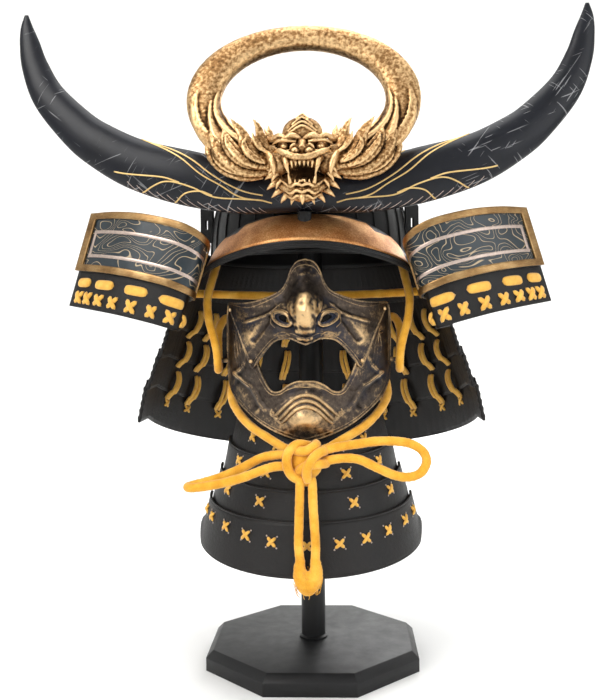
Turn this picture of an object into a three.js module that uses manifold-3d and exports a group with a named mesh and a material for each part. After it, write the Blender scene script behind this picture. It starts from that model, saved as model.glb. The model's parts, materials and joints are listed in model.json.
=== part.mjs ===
// A kabuto: a samurai helmet with horns, a ring and dragon crest, turnbacks, neck guard, face mask and
// throat guard, tied with a chin cord and set on its display stand.
// Millimetres, +Z up. The front faces -Y. The origin is on the table, under the middle of the stand.
import * as THREE from "three";
import { mergeVertices } from "three/addons/utils/BufferGeometryUtils.js";
import Module from "manifold-3d";

const wasm = await Module();
wasm.setup();

// The gap that pieces which touch keep between them
const clearance = 0.4;

// Stand
const plinthWidth = 210;
const plinthHeight = 20;
const plinthChamfer = 7;
const postDiameter = 24.5;
const padDiameter = 84;
const padHeight = 16;

// Helmet bowl. Its rim is the level that the rest of the helmet hangs from.
const rimHeight = 405;
const bowlWidth = 200;
const bowlDepth = 230;
const bowlHeight = 120;
const bowlWall = 3;
const bowlSetback = 5;

// Visor
const visorReach = 36;
const visorRise = 35;
const visorSpan = 202;
const visorDroop = 19;
const visorSideDrop = 38;
const visorWall = 2.5;
const visorBead = 5.2;
const visorTurn = 78;

// Side lugs
const lugWidth = 15;
const lugHeight = 36;
const lugWall = 3;
const lugSlotWidth = 3;
const lugSlotHeight = 9;

// Horns
const hornReach = 252;
const hornRise = 162;
const hornGirth = 49.2;
const hornFlatness = 0.46;
const hornLevel = 57;
const hornStandoff = 2;
const hornSweep = 18;

// Crest: the ring, and the dragon that holds it
const ringWidth = 205;
const ringHeight = 137;
const ringSideBand = 31;
const ringTopBand = 20.5;
const ringDepth = 18;
const ringLean = 12;
const ringLevel = 132;
const dragonWidth = 66;
const dragonHeight = 80;
const dragonRelief = 42;
const dragonLevel = 35;
const wingReach = 90;
const wingHeight = 48;
const wingRelief = 17;
const socketDiameter = 12.4;

// Turnbacks
const turnbackReach = 230;
const turnbackHeight = 87;
const turnbackWall = 3;
const turnbackPanelShare = 0.62;
const turnbackBorder = 6;
const turnbackBorderRise = 1.6;

// Neck guard
const neckWall = 2.5;
const neckLap = 8;
const neckDrop = 159;
const neckBackDrop = 211;
const neckFlare = 68;
const neckBackFlare = 44;
const neckForward = 57;

// Face mask
const maskWidth = 160;
const maskHeight = 162;
const maskDepth = 92;
const maskSetback = -34;
const maskWall = 2.2;
const maskDrop = 169;
const noseReach = 25;
const chinBoss = 8;
const rivetDiameter = 4.6;
const pegDiameter = 4;
const pegLength = 12;

// Throat guard
const throatWall = 2.4;
const throatLap = 8;
const throatWidth = 216;
const throatDepth = 108;
const throatSetback = -40;
const throatDrop = 283;
const throatHeight = 121;

// Cord
const cordDiameter = 8;
const cordSides = 8;

const point = (x, y, z) => new THREE.Vector3(x, y, z);
const degrees = THREE.MathUtils.degToRad;
const lerp = THREE.MathUtils.lerp;

// A value between the rows of a table, where column `key` grows from row to row
function fromTable(rows, key, at, column) {
  let i = 1;
  while (i < rows.length - 1 && rows[i][key] < at) i += 1;
  const [a, b] = [rows[i - 1], rows[i]];
  return lerp(a[column], b[column], (at - a[key]) / (b[key] - a[key]));
}

// Closes a triangle list into a geometry whose faces point out
function closedGeometry(vertices, triangles) {
  let volume = 0;
  for (const [a, b, c] of triangles) {
    volume += vertices[a].dot(point().crossVectors(vertices[b], vertices[c]));
  }
  const order = volume < 0 ? triangles.map(([a, b, c]) => [a, c, b]) : triangles;
  const geometry = new THREE.BufferGeometry();
  geometry.setAttribute(
    "position",
    new THREE.Float32BufferAttribute(vertices.flatMap((v) => [v.x, v.y, v.z]), 3),
  );
  geometry.setIndex(order.flat());
  geometry.computeVertexNormals();
  return geometry;
}

// A wall between two surfaces, front(u, v) and back(u, v), over a grid of `across` by `along` cells
function wall(across, along, front, back) {
  const vertices = [];
  const triangles = [];
  const sides = [front, back].map((surface) => {
    const start = vertices.length;
    for (let i = 0; i <= across; i += 1) {
      for (let j = 0; j <= along; j += 1) vertices.push(surface(i / across, j / along));
    }
    return (i, j) => start + i * (along + 1) + j;
  });
  const [f, b] = sides;
  for (let i = 0; i < across; i += 1) {
    for (let j = 0; j < along; j += 1) {
      triangles.push([f(i, j), f(i + 1, j), f(i + 1, j + 1)], [f(i, j), f(i + 1, j + 1), f(i, j + 1)]);
      triangles.push([b(i, j), b(i + 1, j + 1), b(i + 1, j)], [b(i, j), b(i, j + 1), b(i + 1, j + 1)]);
    }
  }
  for (let i = 0; i < across; i += 1) {
    triangles.push([f(i, 0), b(i, 0), b(i + 1, 0)], [f(i, 0), b(i + 1, 0), f(i + 1, 0)]);
    const j = along;
    triangles.push([f(i, j), b(i + 1, j), b(i, j)], [f(i, j), f(i + 1, j), b(i + 1, j)]);
  }
  for (let j = 0; j < along; j += 1) {
    triangles.push([f(0, j), f(0, j + 1), b(0, j + 1)], [f(0, j), b(0, j + 1), b(0, j)]);
    const i = across;
    triangles.push([f(i, j), b(i, j + 1), f(i, j + 1)], [f(i, j), b(i, j), b(i, j + 1)]);
  }
  return closedGeometry(vertices, triangles);
}

// A skin through closed sections that have the same number of points, capped at both ends or joined in a loop
function loft(sections, looped = false) {
  const around = sections[0].length;
  const vertices = sections.flat();
  const triangles = [];
  const steps = looped ? sections.length : sections.length - 1;
  for (let i = 0; i < steps; i += 1) {
    const [a, b] = [i * around, ((i + 1) % sections.length) * around];
    for (let j = 0; j < around; j += 1) {
      const k = (j + 1) % around;
      triangles.push([a + j, a + k, b + k], [a + j, b + k, b + j]);
    }
  }
  if (!looped) {
    const last = (sections.length - 1) * around;
    for (let j = 1; j < around - 1; j += 1) {
      triangles.push([0, j + 1, j], [last, last + j, last + j + 1]);
    }
  }
  return closedGeometry(vertices, triangles);
}

// The solid of a geometry, for a boolean cut or join, and the way back
function solidOf(geometry) {
  const bare = geometry.clone();
  for (const name of ["normal", "uv"]) bare.deleteAttribute(name);
  const merged = mergeVertices(bare, 1e-3);
  return new wasm.Manifold(
    new wasm.Mesh({
      numProp: 3,
      vertProperties: new Float32Array(merged.attributes.position.array),
      triVerts: new Uint32Array(merged.index.array),
    }),
  );
}
function geometryOf(solid) {
  const mesh = solid.getMesh();
  const geometry = new THREE.BufferGeometry();
  geometry.setAttribute("position", new THREE.Float32BufferAttribute(mesh.vertProperties, 3));
  geometry.setIndex(Array.from(mesh.triVerts));
  geometry.computeVertexNormals();
  return geometry;
}

// The other side's copy of a geometry: X is mirrored and the faces are turned back out
function mirrored(geometry) {
  const copy = geometry.index ? geometry.clone() : mergeVertices(geometry.clone());
  copy.applyMatrix4(new THREE.Matrix4().makeScale(-1, 1, 1));
  const index = copy.index.array;
  for (let i = 0; i < index.length; i += 3) [index[i + 1], index[i + 2]] = [index[i + 2], index[i + 1]];
  copy.computeVertexNormals();
  return copy;
}

const finishes = {
  black_wood: { color: 0x1b1b1c, roughness: 0.45, metalness: 0.0 },
  black_iron: { color: 0x232326, roughness: 0.5, metalness: 0.6 },
  horn: { color: 0x1f1f24, roughness: 0.4, metalness: 0.1 },
  gold: { color: 0xb78a45, roughness: 0.4, metalness: 0.9 },
  copper: { color: 0xb5743a, roughness: 0.45, metalness: 0.8 },
  bronze: { color: 0x6f5a45, roughness: 0.45, metalness: 0.8 },
  panel: { color: 0x25363d, roughness: 0.5, metalness: 0.4 },
  leather: { color: 0x222024, roughness: 0.6, metalness: 0.0 },
  cord: { color: 0xf0ae35, roughness: 0.9, metalness: 0.0 },
};
const kabuto = new THREE.Group();
function add(name, geometry, finish) {
  const mesh = new THREE.Mesh(geometry, new THREE.MeshStandardMaterial(finishes[finish]));
  mesh.name = name;
  kabuto.add(mesh);
}
function addPair(name, geometry, finish) {
  add(`${name}_right`, geometry, finish);
  add(`${name}_left`, mirrored(geometry), finish);
}

// Stand: an octagonal plinth with a chamfered top edge, and a post with a round pad inside the bowl
function plinth() {
  const octagon = (width, z) => {
    const corner = width / 2 / Math.cos(Math.PI / 8);
    return Array.from({ length: 8 }, (_, i) => {
      const angle = ((i + 0.5) * Math.PI) / 4;
      return point(corner * Math.cos(angle), corner * Math.sin(angle), z);
    });
  };
  return loft([
    octagon(plinthWidth, 0),
    octagon(plinthWidth, plinthHeight - plinthChamfer),
    octagon(plinthWidth - 2 * plinthChamfer, plinthHeight),
  ]);
}
add("stand_plinth", plinth(), "black_wood");

// Bowl: a low dome. `share` is the height up the dome, and the result its radius as a share of the rim's.
const domeRadius = (share) => Math.pow(1 - Math.pow(share, 2.4), 1 / 2.2);
const bowlApex = rimHeight + bowlHeight;
function dome(width, depth, height, hollow) {
  const outer = [];
  for (const share of [0, 0.2, 0.4, 0.58, 0.74, 0.87, 0.96]) {
    outer.push([domeRadius(share), share]);
  }
  const profile = outer.map(([r, share]) => new THREE.Vector2((r * width) / 2, share * height));
  profile.push(new THREE.Vector2(0, height));
  const inner = outer.map(([r, share]) => {
    return new THREE.Vector2(r * (width / 2 - bowlWall), share * (height - bowlWall));
  });
  const inside = hollow ? [new THREE.Vector2(0, height - bowlWall), ...inner.reverse()] : [new THREE.Vector2(0, 0)];
  const geometry = new THREE.LatheGeometry([...inside, ...profile], 24);
  geometry.rotateX(Math.PI / 2);
  geometry.scale(1, depth / width, 1);
  geometry.translate(0, bowlSetback, rimHeight);
  for (const name of ["normal", "uv"]) geometry.deleteAttribute(name);
  const merged = mergeVertices(geometry, 1e-3);
  const corners = [];
  for (let i = 0; i < merged.attributes.position.count; i += 1) {
    corners.push(point().fromBufferAttribute(merged.attributes.position, i));
  }
  const faces = [];
  for (let i = 0; i < merged.index.count; i += 3) {
    const face = [0, 1, 2].map((k) => merged.index.getX(i + k));
    if (new Set(face).size === 3) faces.push(face);
  }
  return closedGeometry(corners, faces);
}
add("bowl", dome(bowlWidth, bowlDepth, bowlHeight, true), "black_iron");
const bowlGrown = solidOf(
  dome(bowlWidth + 2 * clearance, bowlDepth + 2 * clearance, bowlHeight + clearance, false),
);
const bowlFront = (height) => {
  return bowlSetback - (bowlDepth / 2) * domeRadius(Math.max(0, height) / bowlHeight);
};

function post() {
  const top = bowlApex - bowlWall - 3 * clearance;
  const [r, pad] = [postDiameter / 2, padDiameter / 2];
  const profile = [
    [0, plinthHeight + clearance],
    [r, plinthHeight + clearance],
    [r, top - 2 * padHeight],
    [pad * 0.55, top - 1.45 * padHeight],
    [pad, top - 1.1 * padHeight],
    [pad, top - 0.9 * padHeight],
    [pad * 0.62, top - 0.48 * padHeight],
    [pad * 0.3, top - 0.2 * padHeight],
    [0, top],
  ].map(([x, y]) => new THREE.Vector2(x, y));
  const geometry = new THREE.LatheGeometry(profile, 16);
  geometry.rotateX(Math.PI / 2);
  geometry.translate(0, 0, 0);
  return geometry;
}
add("stand_post", post(), "black_wood");

// Visor: a plate that leaves the bowl's front and slopes down to a beaded edge
const visorJoint = (angle, drop = 0) => {
  const height = visorRise - drop - visorSideDrop * Math.pow(Math.abs(Math.sin(angle * 0.9)), 3);
  const r = domeRadius(Math.max(0, height) / bowlHeight);
  const gap = clearance + 0.2;
  return point(
    (bowlWidth / 2) * r * Math.sin(angle * 0.9) + gap * Math.sin(angle),
    bowlSetback - (bowlDepth / 2) * r * Math.cos(angle * 0.9) - gap * Math.cos(angle),
    rimHeight + height,
  );
};
const visorFront = bowlFront(0) - visorReach;
const visorEdge = (angle) => {
  const depth = 110;
  return point(
    (visorSpan / 2) * Math.sin(angle),
    visorFront + depth * (1 - Math.cos(angle)),
    rimHeight + 7 - visorDroop * Math.pow(Math.sin(angle), 2),
  );
};
function visorSurface(high, low) {
  const turn = degrees(visorTurn);
  const surface = (lift) => (u, v) => {
    const angle = lerp(-turn, turn, u);
    const p = visorJoint(angle, Math.max(0, -lift)).lerp(visorEdge(angle).add(point(0, 0, lift)), v);
    p.z += 5 * Math.sin(Math.PI * v) * Math.cos(angle) + Math.max(0, lift) * (1 - v);
    return p;
  };
  return wall(24, 3, surface(high), surface(low));
}
add("visor", visorSurface(0, -visorWall), "copper");

// A round bar of `diameter` along a curve, closed at both ends
function bar(curve, diameter, steps, sides = cordSides) {
  const shape = new THREE.Shape(
    Array.from({ length: sides }, (_, i) => {
      const angle = ((i + 0.5) * 2 * Math.PI) / sides;
      return new THREE.Vector2((Math.cos(angle) * diameter) / 2, (Math.sin(angle) * diameter) / 2);
    }),
  );
  const geometry = new THREE.ExtrudeGeometry(shape, { steps, extrudePath: curve, bevelEnabled: false });
  for (const name of ["normal", "uv"]) geometry.deleteAttribute(name);
  return mergeVertices(geometry, 1e-3);
}
function visorBeadCurve() {
  const turn = degrees(visorTurn);
  const outward = visorBead / 2 + clearance + 0.75;
  return new THREE.CatmullRomCurve3(
    Array.from({ length: 25 }, (_, i) => {
      const angle = lerp(-turn, turn, i / 24);
      const edge = visorEdge(angle);
      const along = visorEdge(angle + 0.01).sub(visorEdge(angle - 0.01)).normalize();
      const slope = edge.clone().sub(visorJoint(angle));
      const away = slope.addScaledVector(along, -slope.dot(along)).setLength(outward);
      return edge.add(away).sub(point(0, 0, visorWall / 2));
    }),
  );
}
add("visor_bead", bar(visorBeadCurve(), visorBead, 24), "black_iron");

// Side lugs: slotted plates that stand off the bowl beside the visor
function lug() {
  const plate = new THREE.BoxGeometry(lugWidth, lugWall, lugHeight);
  const slot = new THREE.BoxGeometry(lugSlotWidth, lugWall * 3, lugSlotHeight);
  const place = new THREE.Matrix4()
    .makeTranslation(bowlWidth / 2 + lugWidth * 0.12, bowlSetback - bowlDepth * 0.1, rimHeight + lugHeight)
    .multiply(new THREE.Matrix4().makeRotationZ(degrees(28)));
  const cut = solidOf(plate.applyMatrix4(place)).subtract(solidOf(slot.applyMatrix4(place)));
  const parts = cut.subtract(bowlGrown).decompose();
  return geometryOf(parts.sort((a, b) => b.volume() - a.volume())[0]);
}
addPair("side_lug", lug(), "black_iron");

// Horns: each row is one section, with its place along the reach and rise and its size, as shares
const hornSections = [
  { out: 0.0, up: 0.0, size: 0.854 },
  { out: 0.12, up: -0.005, size: 0.882 },
  { out: 0.237, up: 0.006, size: 0.935 },
  { out: 0.416, up: 0.064, size: 1.0 },
  { out: 0.594, up: 0.145, size: 0.919 },
  { out: 0.731, up: 0.258, size: 0.821 },
  { out: 0.815, up: 0.359, size: 0.74 },
  { out: 0.918, up: 0.535, size: 0.622 },
  { out: 0.969, up: 0.704, size: 0.5 },
  { out: 0.989, up: 0.834, size: 0.382 },
  { out: 0.999, up: 0.924, size: 0.244 },
  { out: 1.0, up: 1.0, size: 0.07 },
];
const hornHalfDepth = (hornGirth / 2) * hornFlatness;
const hornCentreY = bowlFront(hornLevel - hornGirth * 0.2) - hornHalfDepth - hornStandoff;
const hornFrontY = hornCentreY - hornHalfDepth;
function horn(grow = 0) {
  const centres = hornSections.map(({ out, up }) => {
    return point(
      Math.max(out * hornReach, clearance / 2 - grow),
      hornCentreY + hornSweep * out * out,
      rimHeight + hornLevel + up * hornRise,
    );
  });
  const sections = centres.map((centre, i) => {
    const before = centres[Math.max(0, i - 1)];
    const after = centres[Math.min(centres.length - 1, i + 1)];
    const along = i === 0 ? point(1, 0, 0) : after.clone().sub(before).setY(0).normalize();
    const across = point(-along.z, 0, along.x);
    const half = (hornSections[i].size * hornGirth) / 2 + grow;
    return Array.from({ length: 12 }, (_, k) => {
      const angle = (k * Math.PI) / 6;
      const p = centre.clone().addScaledVector(across, half * Math.cos(angle));
      p.y += half * hornFlatness * Math.sin(angle);
      return p;
    });
  });
  return loft(sections);
}
addPair("horn", horn(), "horn");

// Bracket between the bowl's front and the horns, cut to both
function bracket() {
  const back = bowlSetback - bowlDepth * 0.4;
  const depth = back - hornCentreY;
  const block = new THREE.BoxGeometry(hornGirth * 0.9, depth, hornGirth * 0.5);
  block.translate(0, back - depth / 2, rimHeight + hornLevel);
  const horns = solidOf(horn(clearance)).add(solidOf(mirrored(horn(clearance))));
  const parts = solidOf(block).subtract(bowlGrown).subtract(horns).decompose();
  return geometryOf(parts.sort((a, b) => b.volume() - a.volume())[0]);
}
add("crest_bracket", bracket(), "black_iron");

// Crest ring: a flat oval band, thinner at its top, that leans back over the bowl
const crestBackY = hornFrontY - clearance;
function ring(grow = 0) {
  const lean = degrees(ringLean);
  const sections = Array.from({ length: 32 }, (_, i) => {
    const angle = (i / 32) * 2 * Math.PI;
    const [s, c] = [Math.sin(angle), Math.cos(angle)];
    const band = lerp(ringSideBand, ringTopBand, c * c) / 2;
    const middle = { x: (ringWidth / 2 - ringSideBand / 2) * s, z: (ringHeight / 2 - ringTopBand / 2) * c };
    const out = point(s / (ringWidth / 2), 0, c / (ringHeight / 2)).normalize();
    return [
      [1, 0.4], [0.62, 1], [-0.62, 1], [-1, 0.4], [-1, -0.4], [-0.62, -1], [0.62, -1], [1, -0.4],
    ].map(([o, d]) => {
      return point(
        middle.x + out.x * o * (band + grow),
        d * (ringDepth / 2 + grow),
        middle.z + out.z * o * (band + grow),
      );
    });
  });
  const geometry = loft(sections, true);
  geometry.rotateX(-lean);
  const middleY = crestBackY - ringDepth / 2 - clearance + (ringHeight / 2) * Math.sin(lean);
  geometry.translate(0, middleY, rimHeight + ringLevel);
  return geometry;
}
add("crest_ring", ring(), "gold");
const ringGrown = solidOf(ring(clearance));

// Dragon face. Rows: height up the head, its half width and how far its middle stands out, as shares.
const dragonRows = [
  { up: 0.0, wide: 0.12, out: 0.5 },
  { up: 0.05, wide: 0.56, out: 0.62 },
  { up: 0.12, wide: 0.75, out: 0.78 },
  { up: 0.19, wide: 0.9, out: 0.76 },
  { up: 0.24, wide: 0.95, out: 0.42 },
  { up: 0.31, wide: 1.0, out: 0.34 },
  { up: 0.38, wide: 0.84, out: 0.36 },
  { up: 0.45, wide: 0.8, out: 0.5 },
  { up: 0.49, wide: 0.8, out: 0.96 },
  { up: 0.56, wide: 0.86, out: 1.0 },
  { up: 0.62, wide: 0.93, out: 0.9 },
  { up: 0.68, wide: 0.88, out: 0.62 },
  { up: 0.73, wide: 0.76, out: 0.66 },
  { up: 0.81, wide: 0.58, out: 0.72 },
  { up: 0.92, wide: 0.3, out: 0.6 },
  { up: 1.0, wide: 0.05, out: 0.42 },
];
const dragonFoot = rimHeight + dragonLevel;
function dragonFace() {
  const rows = dragonRows.length - 1;
  const at = (u, v) => {
    const row = dragonRows[Math.round(v * rows)];
    const side = 2 * u - 1;
    const x = (side * row.wide * dragonWidth) / 2;
    return { row, side, x, z: dragonFoot + row.up * dragonHeight };
  };
  const front = (u, v) => {
    const { row, side, x, z } = at(u, v);
    const cheek = 0.3 * (1 - side * side);
    const middle = row.out * Math.pow(Math.cos((side * Math.PI) / 2), 0.8);
    const out = dragonRelief * Math.max(0.22, cheek + middle * 0.72);
    return point(x, crestBackY - out, z);
  };
  const back = (u, v) => point(at(u, v).x, crestBackY, at(u, v).z);
  const parts = solidOf(wall(10, rows, front, back)).subtract(ringGrown).decompose();
  return geometryOf(parts.sort((a, b) => b.volume() - a.volume())[0]);
}
add("dragon_face", dragonFace(), "gold");

// Wings: folded fins between the dragon and the ring. Rows: place along the reach, bottom and top, as shares.
const wingRows = [
  { along: 0.3, low: 0.06, high: 0.62, out: 0.7 },
  { along: 0.36, low: 0.0, high: 0.6, out: 0.95 },
  { along: 0.43, low: 0.04, high: 0.82, out: 0.72 },
  { along: 0.5, low: 0.06, high: 0.9, out: 1.0 },
  { along: 0.57, low: 0.1, high: 0.72, out: 0.62 },
  { along: 0.63, low: 0.16, high: 0.78, out: 0.9 },
  { along: 0.69, low: 0.2, high: 1.0, out: 0.7 },
  { along: 0.75, low: 0.26, high: 0.8, out: 0.92 },
  { along: 0.83, low: 0.36, high: 0.76, out: 0.62 },
  { along: 0.92, low: 0.5, high: 0.72, out: 0.5 },
];
const wingFoot = rimHeight + dragonLevel + dragonHeight * 0.36;
function wing() {
  const rows = wingRows.length - 1;
  const at = (u, v) => {
    const row = wingRows[Math.round(u * rows)];
    return {
      row,
      x: Math.max(row.along * wingReach, row === wingRows[0] ? (dragonWidth / 2) * 0.97 + clearance : 0),
      z: wingFoot + wingHeight * lerp(row.low, row.high, v),
    };
  };
  const front = (u, v) => {
    const { row, x, z } = at(u, v);
    const swell = 0.35 + 0.65 * Math.sin(Math.PI * v);
    return point(x, crestBackY - ringDepth * 0.55 - wingRelief * row.out * swell, z);
  };
  const back = (u, v) => point(at(u, v).x, crestBackY, at(u, v).z);
  const parts = solidOf(wall(rows, 4, front, back)).subtract(ringGrown).decompose();
  return geometryOf(parts.sort((a, b) => b.volume() - a.volume())[0]);
}
addPair("crest_wing", wing(), "gold");

// Socket: the stub that stands on the visor under the crest, cut to the visor's slope
function socket() {
  const y = (bowlFront(visorRise) + crestBackY) / 2 - 4;
  const top = dragonFoot - clearance;
  const stub = new THREE.CylinderGeometry(socketDiameter / 2, socketDiameter / 2, visorRise, 14);
  stub.rotateX(Math.PI / 2);
  stub.translate(0, y, top - visorRise / 2);
  const under = visorSurface(clearance, -visorRise);
  const parts = solidOf(stub).subtract(solidOf(under)).decompose();
  return geometryOf(parts.sort((a, b) => b.volume() - a.volume())[0]);
}
add("crest_socket", socket(), "black_iron");

// Neck guard. Rows: the lower edge of each lame, as shares of the guard's drop and flare at its ends and back.
const neckEdges = [
  { drop: 0.0, backDrop: 0.0, flare: 0.0, backFlare: 0.0 },
  { drop: 0.22, backDrop: 0.204, flare: 0.25, backFlare: 0.32 },
  { drop: 0.421, backDrop: 0.393, flare: 0.485, backFlare: 0.57 },
  { drop: 0.597, backDrop: 0.578, flare: 0.66, backFlare: 0.75 },
  { drop: 0.792, backDrop: 0.782, flare: 0.853, backFlare: 0.89 },
  { drop: 1.0, backDrop: 1.0, flare: 1.0, backFlare: 1.0 },
];
const neckForwards = [1.0, 1.0, 0.82, 0.76, 0.72];
// One point of the guard: `path` runs from one front end (-1) round the back (0) to the other (1)
function neckPoint(path, forward, side, back, zSide, zBack) {
  const turn = 0.8;
  const share = Math.min(1, Math.abs(path) / turn);
  const angle = (share * Math.PI) / 2;
  const z = lerp(zBack, zSide, 1 - Math.cos(angle));
  const past = Math.max(0, (Math.abs(path) - turn) / (1 - turn));
  return point(
    Math.sign(path) * side * Math.sin(angle),
    bowlSetback + back * Math.cos(angle) - past * forward,
    z,
  );
}
function neckEdge(k) {
  const e = neckEdges[k];
  return {
    side: bowlWidth / 2 + neckWall + clearance + 0.1 + e.flare * neckFlare,
    back: bowlDepth / 2 + neckWall + clearance + 0.1 + e.backFlare * neckBackFlare,
    zSide: rimHeight - e.drop * neckDrop,
    zBack: rimHeight - e.backDrop * neckBackDrop,
  };
}
const slopeOf = (a, b, key, z) => (b[key] - a[key]) / (a[z] - b[z]);
// The profile of a lame: a lapped top in front of the upper lame's lower edge, then down to its own lower edge
function neckProfile(k) {
  const [a, b] = [neckEdge(k), neckEdge(k + 1)];
  const step = k === 0 ? 0 : neckWall + clearance + 0.15;
  const before = k === 0 ? a : neckProfile(k - 1)[1];
  const above = k === 0 ? { side: 0, back: 0 } : {
    side: slopeOf(before, a, "side", "zSide"),
    back: slopeOf(before, a, "back", "zBack"),
  };
  const lap = k === 0 ? 6 : neckLap;
  const top = {
    side: a.side + step - above.side * lap,
    back: a.back + step - above.back * lap,
    zSide: a.zSide + lap,
    zBack: a.zBack + lap,
  };
  const knee = { side: a.side + step, back: a.back + step, zSide: a.zSide, zBack: a.zBack };
  return [top, knee, b];
}
function neckLame(k) {
  const profile = neckProfile(k);
  const forward = neckForward * neckForwards[k];
  const surface = (inset) => (u, v) => {
    const row = profile[Math.round(v * 2)];
    return neckPoint(2 * u - 1, forward, row.side - inset, row.back - inset, row.zSide, row.zBack);
  };
  return wall(24, 2, surface(0), surface(neckWall));
}
for (let k = 0; k < 5; k += 1) add(`neck_lame_${k + 1}`, neckLame(k), "leather");

// Turnbacks: the first lames' front ends, bent outwards. Rows: points of the top and bottom edges, in shares of
// the reach (out), and of the height (up), with the depth forward of the lame's end as a share of the height.
const turnbackRows = [
  { topOut: 0.452, topFore: 0.0, topUp: 0.8, lowOut: 0.572, lowFore: 0.0, lowUp: 0.02 },
  { topOut: 0.426, topFore: 0.18, topUp: 0.83, lowOut: 0.537, lowFore: 0.18, lowUp: 0.005 },
  { topOut: 0.4, topFore: 0.37, topUp: 0.87, lowOut: 0.506, lowFore: 0.37, lowUp: 0.0 },
  { topOut: 0.388, topFore: 0.49, topUp: 0.925, lowOut: 0.494, lowFore: 0.5, lowUp: 0.0 },
  { topOut: 0.396, topFore: 0.58, topUp: 0.99, lowOut: 0.506, lowFore: 0.6, lowUp: 0.01 },
  { topOut: 0.435, topFore: 0.635, topUp: 1.075, lowOut: 0.55, lowFore: 0.66, lowUp: 0.045 },
  { topOut: 0.505, topFore: 0.64, topUp: 1.155, lowOut: 0.615, lowFore: 0.675, lowUp: 0.097 },
  { topOut: 0.64, topFore: 0.56, topUp: 1.24, lowOut: 0.748, lowFore: 0.595, lowUp: 0.184 },
  { topOut: 0.766, topFore: 0.4, topUp: 1.282, lowOut: 0.883, lowFore: 0.42, lowUp: 0.253 },
  { topOut: 0.885, topFore: 0.19, topUp: 1.293, lowOut: 1.0, lowFore: 0.19, lowUp: 0.305 },
];
const turnbackFoot = neckEdge(2).zSide - 3;
const turnbackRoot = bowlSetback - neckForward - clearance - 0.2;
const turnbackCurve = (out, fore, up) => {
  return new THREE.CatmullRomCurve3(
    turnbackRows.map((row) => {
      return point(
        row[out] * turnbackReach,
        turnbackRoot - row[fore] * turnbackHeight,
        turnbackFoot + row[up] * turnbackHeight,
      );
    }),
  );
};
const turnbackTop = turnbackCurve("topOut", "topFore", "topUp");
const turnbackLow = turnbackCurve("lowOut", "lowFore", "lowUp");
// A point of the plate: `s` along it, `t` from its top edge down, `lift` out of its face
function turnbackPoint(s, t, lift) {
  const spot = (a, b) => turnbackTop.getPoint(a).lerp(turnbackLow.getPoint(a), b);
  const step = 0.004;
  const alongS = spot(Math.min(1, s + step), t).sub(spot(Math.max(0, s - step), t));
  const alongT = turnbackLow.getPoint(s).sub(turnbackTop.getPoint(s));
  return spot(s, t).addScaledVector(point().crossVectors(alongT, alongS).normalize(), lift);
}
const plate = (s0, s1, t0, t1, low, high, cells, rows = 1) => {
  const surface = (lift) => (u, v) => turnbackPoint(lerp(s0, s1, u), lerp(t0, t1, v), lift);
  return wall(cells, rows, surface(high), surface(low));
};
const stripDrop = turnbackWall + clearance;
addPair("turnback_panel", plate(0, 1, 0, turnbackPanelShare, -turnbackWall, 0, 20), "panel");
addPair(
  "turnback_strip",
  plate(0.03, 1, turnbackPanelShare - 0.09, 1, -stripDrop - turnbackWall, -stripDrop, 20),
  "leather",
);
// The border is a raised frame round the panel's front
function turnbackFrame() {
  const s0 = 0.25;
  const wideT = turnbackBorder / turnbackHeight;
  const wideS = turnbackBorder / 190;
  const corners = [
    [s0, 0], [1, 0], [1, turnbackPanelShare], [s0, turnbackPanelShare],
  ];
  const inset = [
    [s0 + wideS, wideT], [1 - wideS, wideT],
    [1 - wideS, turnbackPanelShare - wideT], [s0 + wideS, turnbackPanelShare - wideT],
  ];
  const counts = [11, 2, 11, 2];
  const loop = [];
  corners.forEach((corner, i) => {
    const next = (i + 1) % 4;
    for (let k = 0; k < counts[i]; k += 1) {
      const share = k / counts[i];
      const blend = (list) => [0, 1].map((axis) => lerp(list[i][axis], list[next][axis], share));
      loop.push([blend(corners), blend(inset)]);
    }
  });
  const low = clearance + 0.15;
  const high = low + turnbackBorderRise;
  return loft(
    loop.map(([outer, inner]) => [
      turnbackPoint(...outer, low),
      turnbackPoint(...outer, high),
      turnbackPoint(...inner, high),
      turnbackPoint(...inner, low),
    ]),
    true,
  );
}
addPair("turnback_border", turnbackFrame(), "gold");

// Face mask. Its outlines are tables of shares of half the mask's width and of its height above the chin.
const maskChin = rimHeight - maskDrop;
const maskAt = (x, z) => ({ x: (x * maskWidth) / 2, z: maskChin + z * maskHeight });
const bump = (value, centre, width) => Math.exp(-Math.pow((value - centre) / width, 2));
// How far the nose and chin stand out of the mask's curve, in shares of their named reaches
function maskRelief(x, z) {
  const sx = x / (maskWidth / 2);
  const sz = (z - maskChin) / maskHeight;
  const bridge = bump(sx, 0, 0.13) * (sz > 0.69 ? bump(sz, 0.69, 0.2) : bump(sz, 0.69, 0.1));
  const wings = 0.42 * (bump(sx, 0.22, 0.1) + bump(sx, -0.22, 0.1)) * bump(sz, 0.68, 0.07);
  const chin = bump(sx, 0, 0.34) * bump(sz, 0.15, 0.1);
  const brow = -6 * Math.max(0, sz - 0.75) / 0.25;
  const under = -9 * Math.pow(Math.max(0, 0.09 - sz) / 0.09, 2) * bump(sx, 0, 0.5);
  return noseReach * Math.min(1, bridge + wings) + chinBoss * chin + brow + under;
}
function maskPoint(x, z, lift) {
  const spot = (a, b) => {
    const side = Math.min(0.985, Math.abs(a) / (maskWidth / 2 + 0.6));
    return point(a, maskSetback - maskDepth * Math.sqrt(1 - side * side) - maskRelief(a, b), b);
  };
  const step = 0.5;
  const inward = x > 0 ? -1 : 1;
  const alongX = spot(x + inward * step, z).sub(spot(x, z)).multiplyScalar(inward);
  const alongZ = spot(x, z + step).sub(spot(x, z - step));
  return spot(x, z).addScaledVector(point().crossVectors(alongX, alongZ).normalize(), lift);
}
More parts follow.
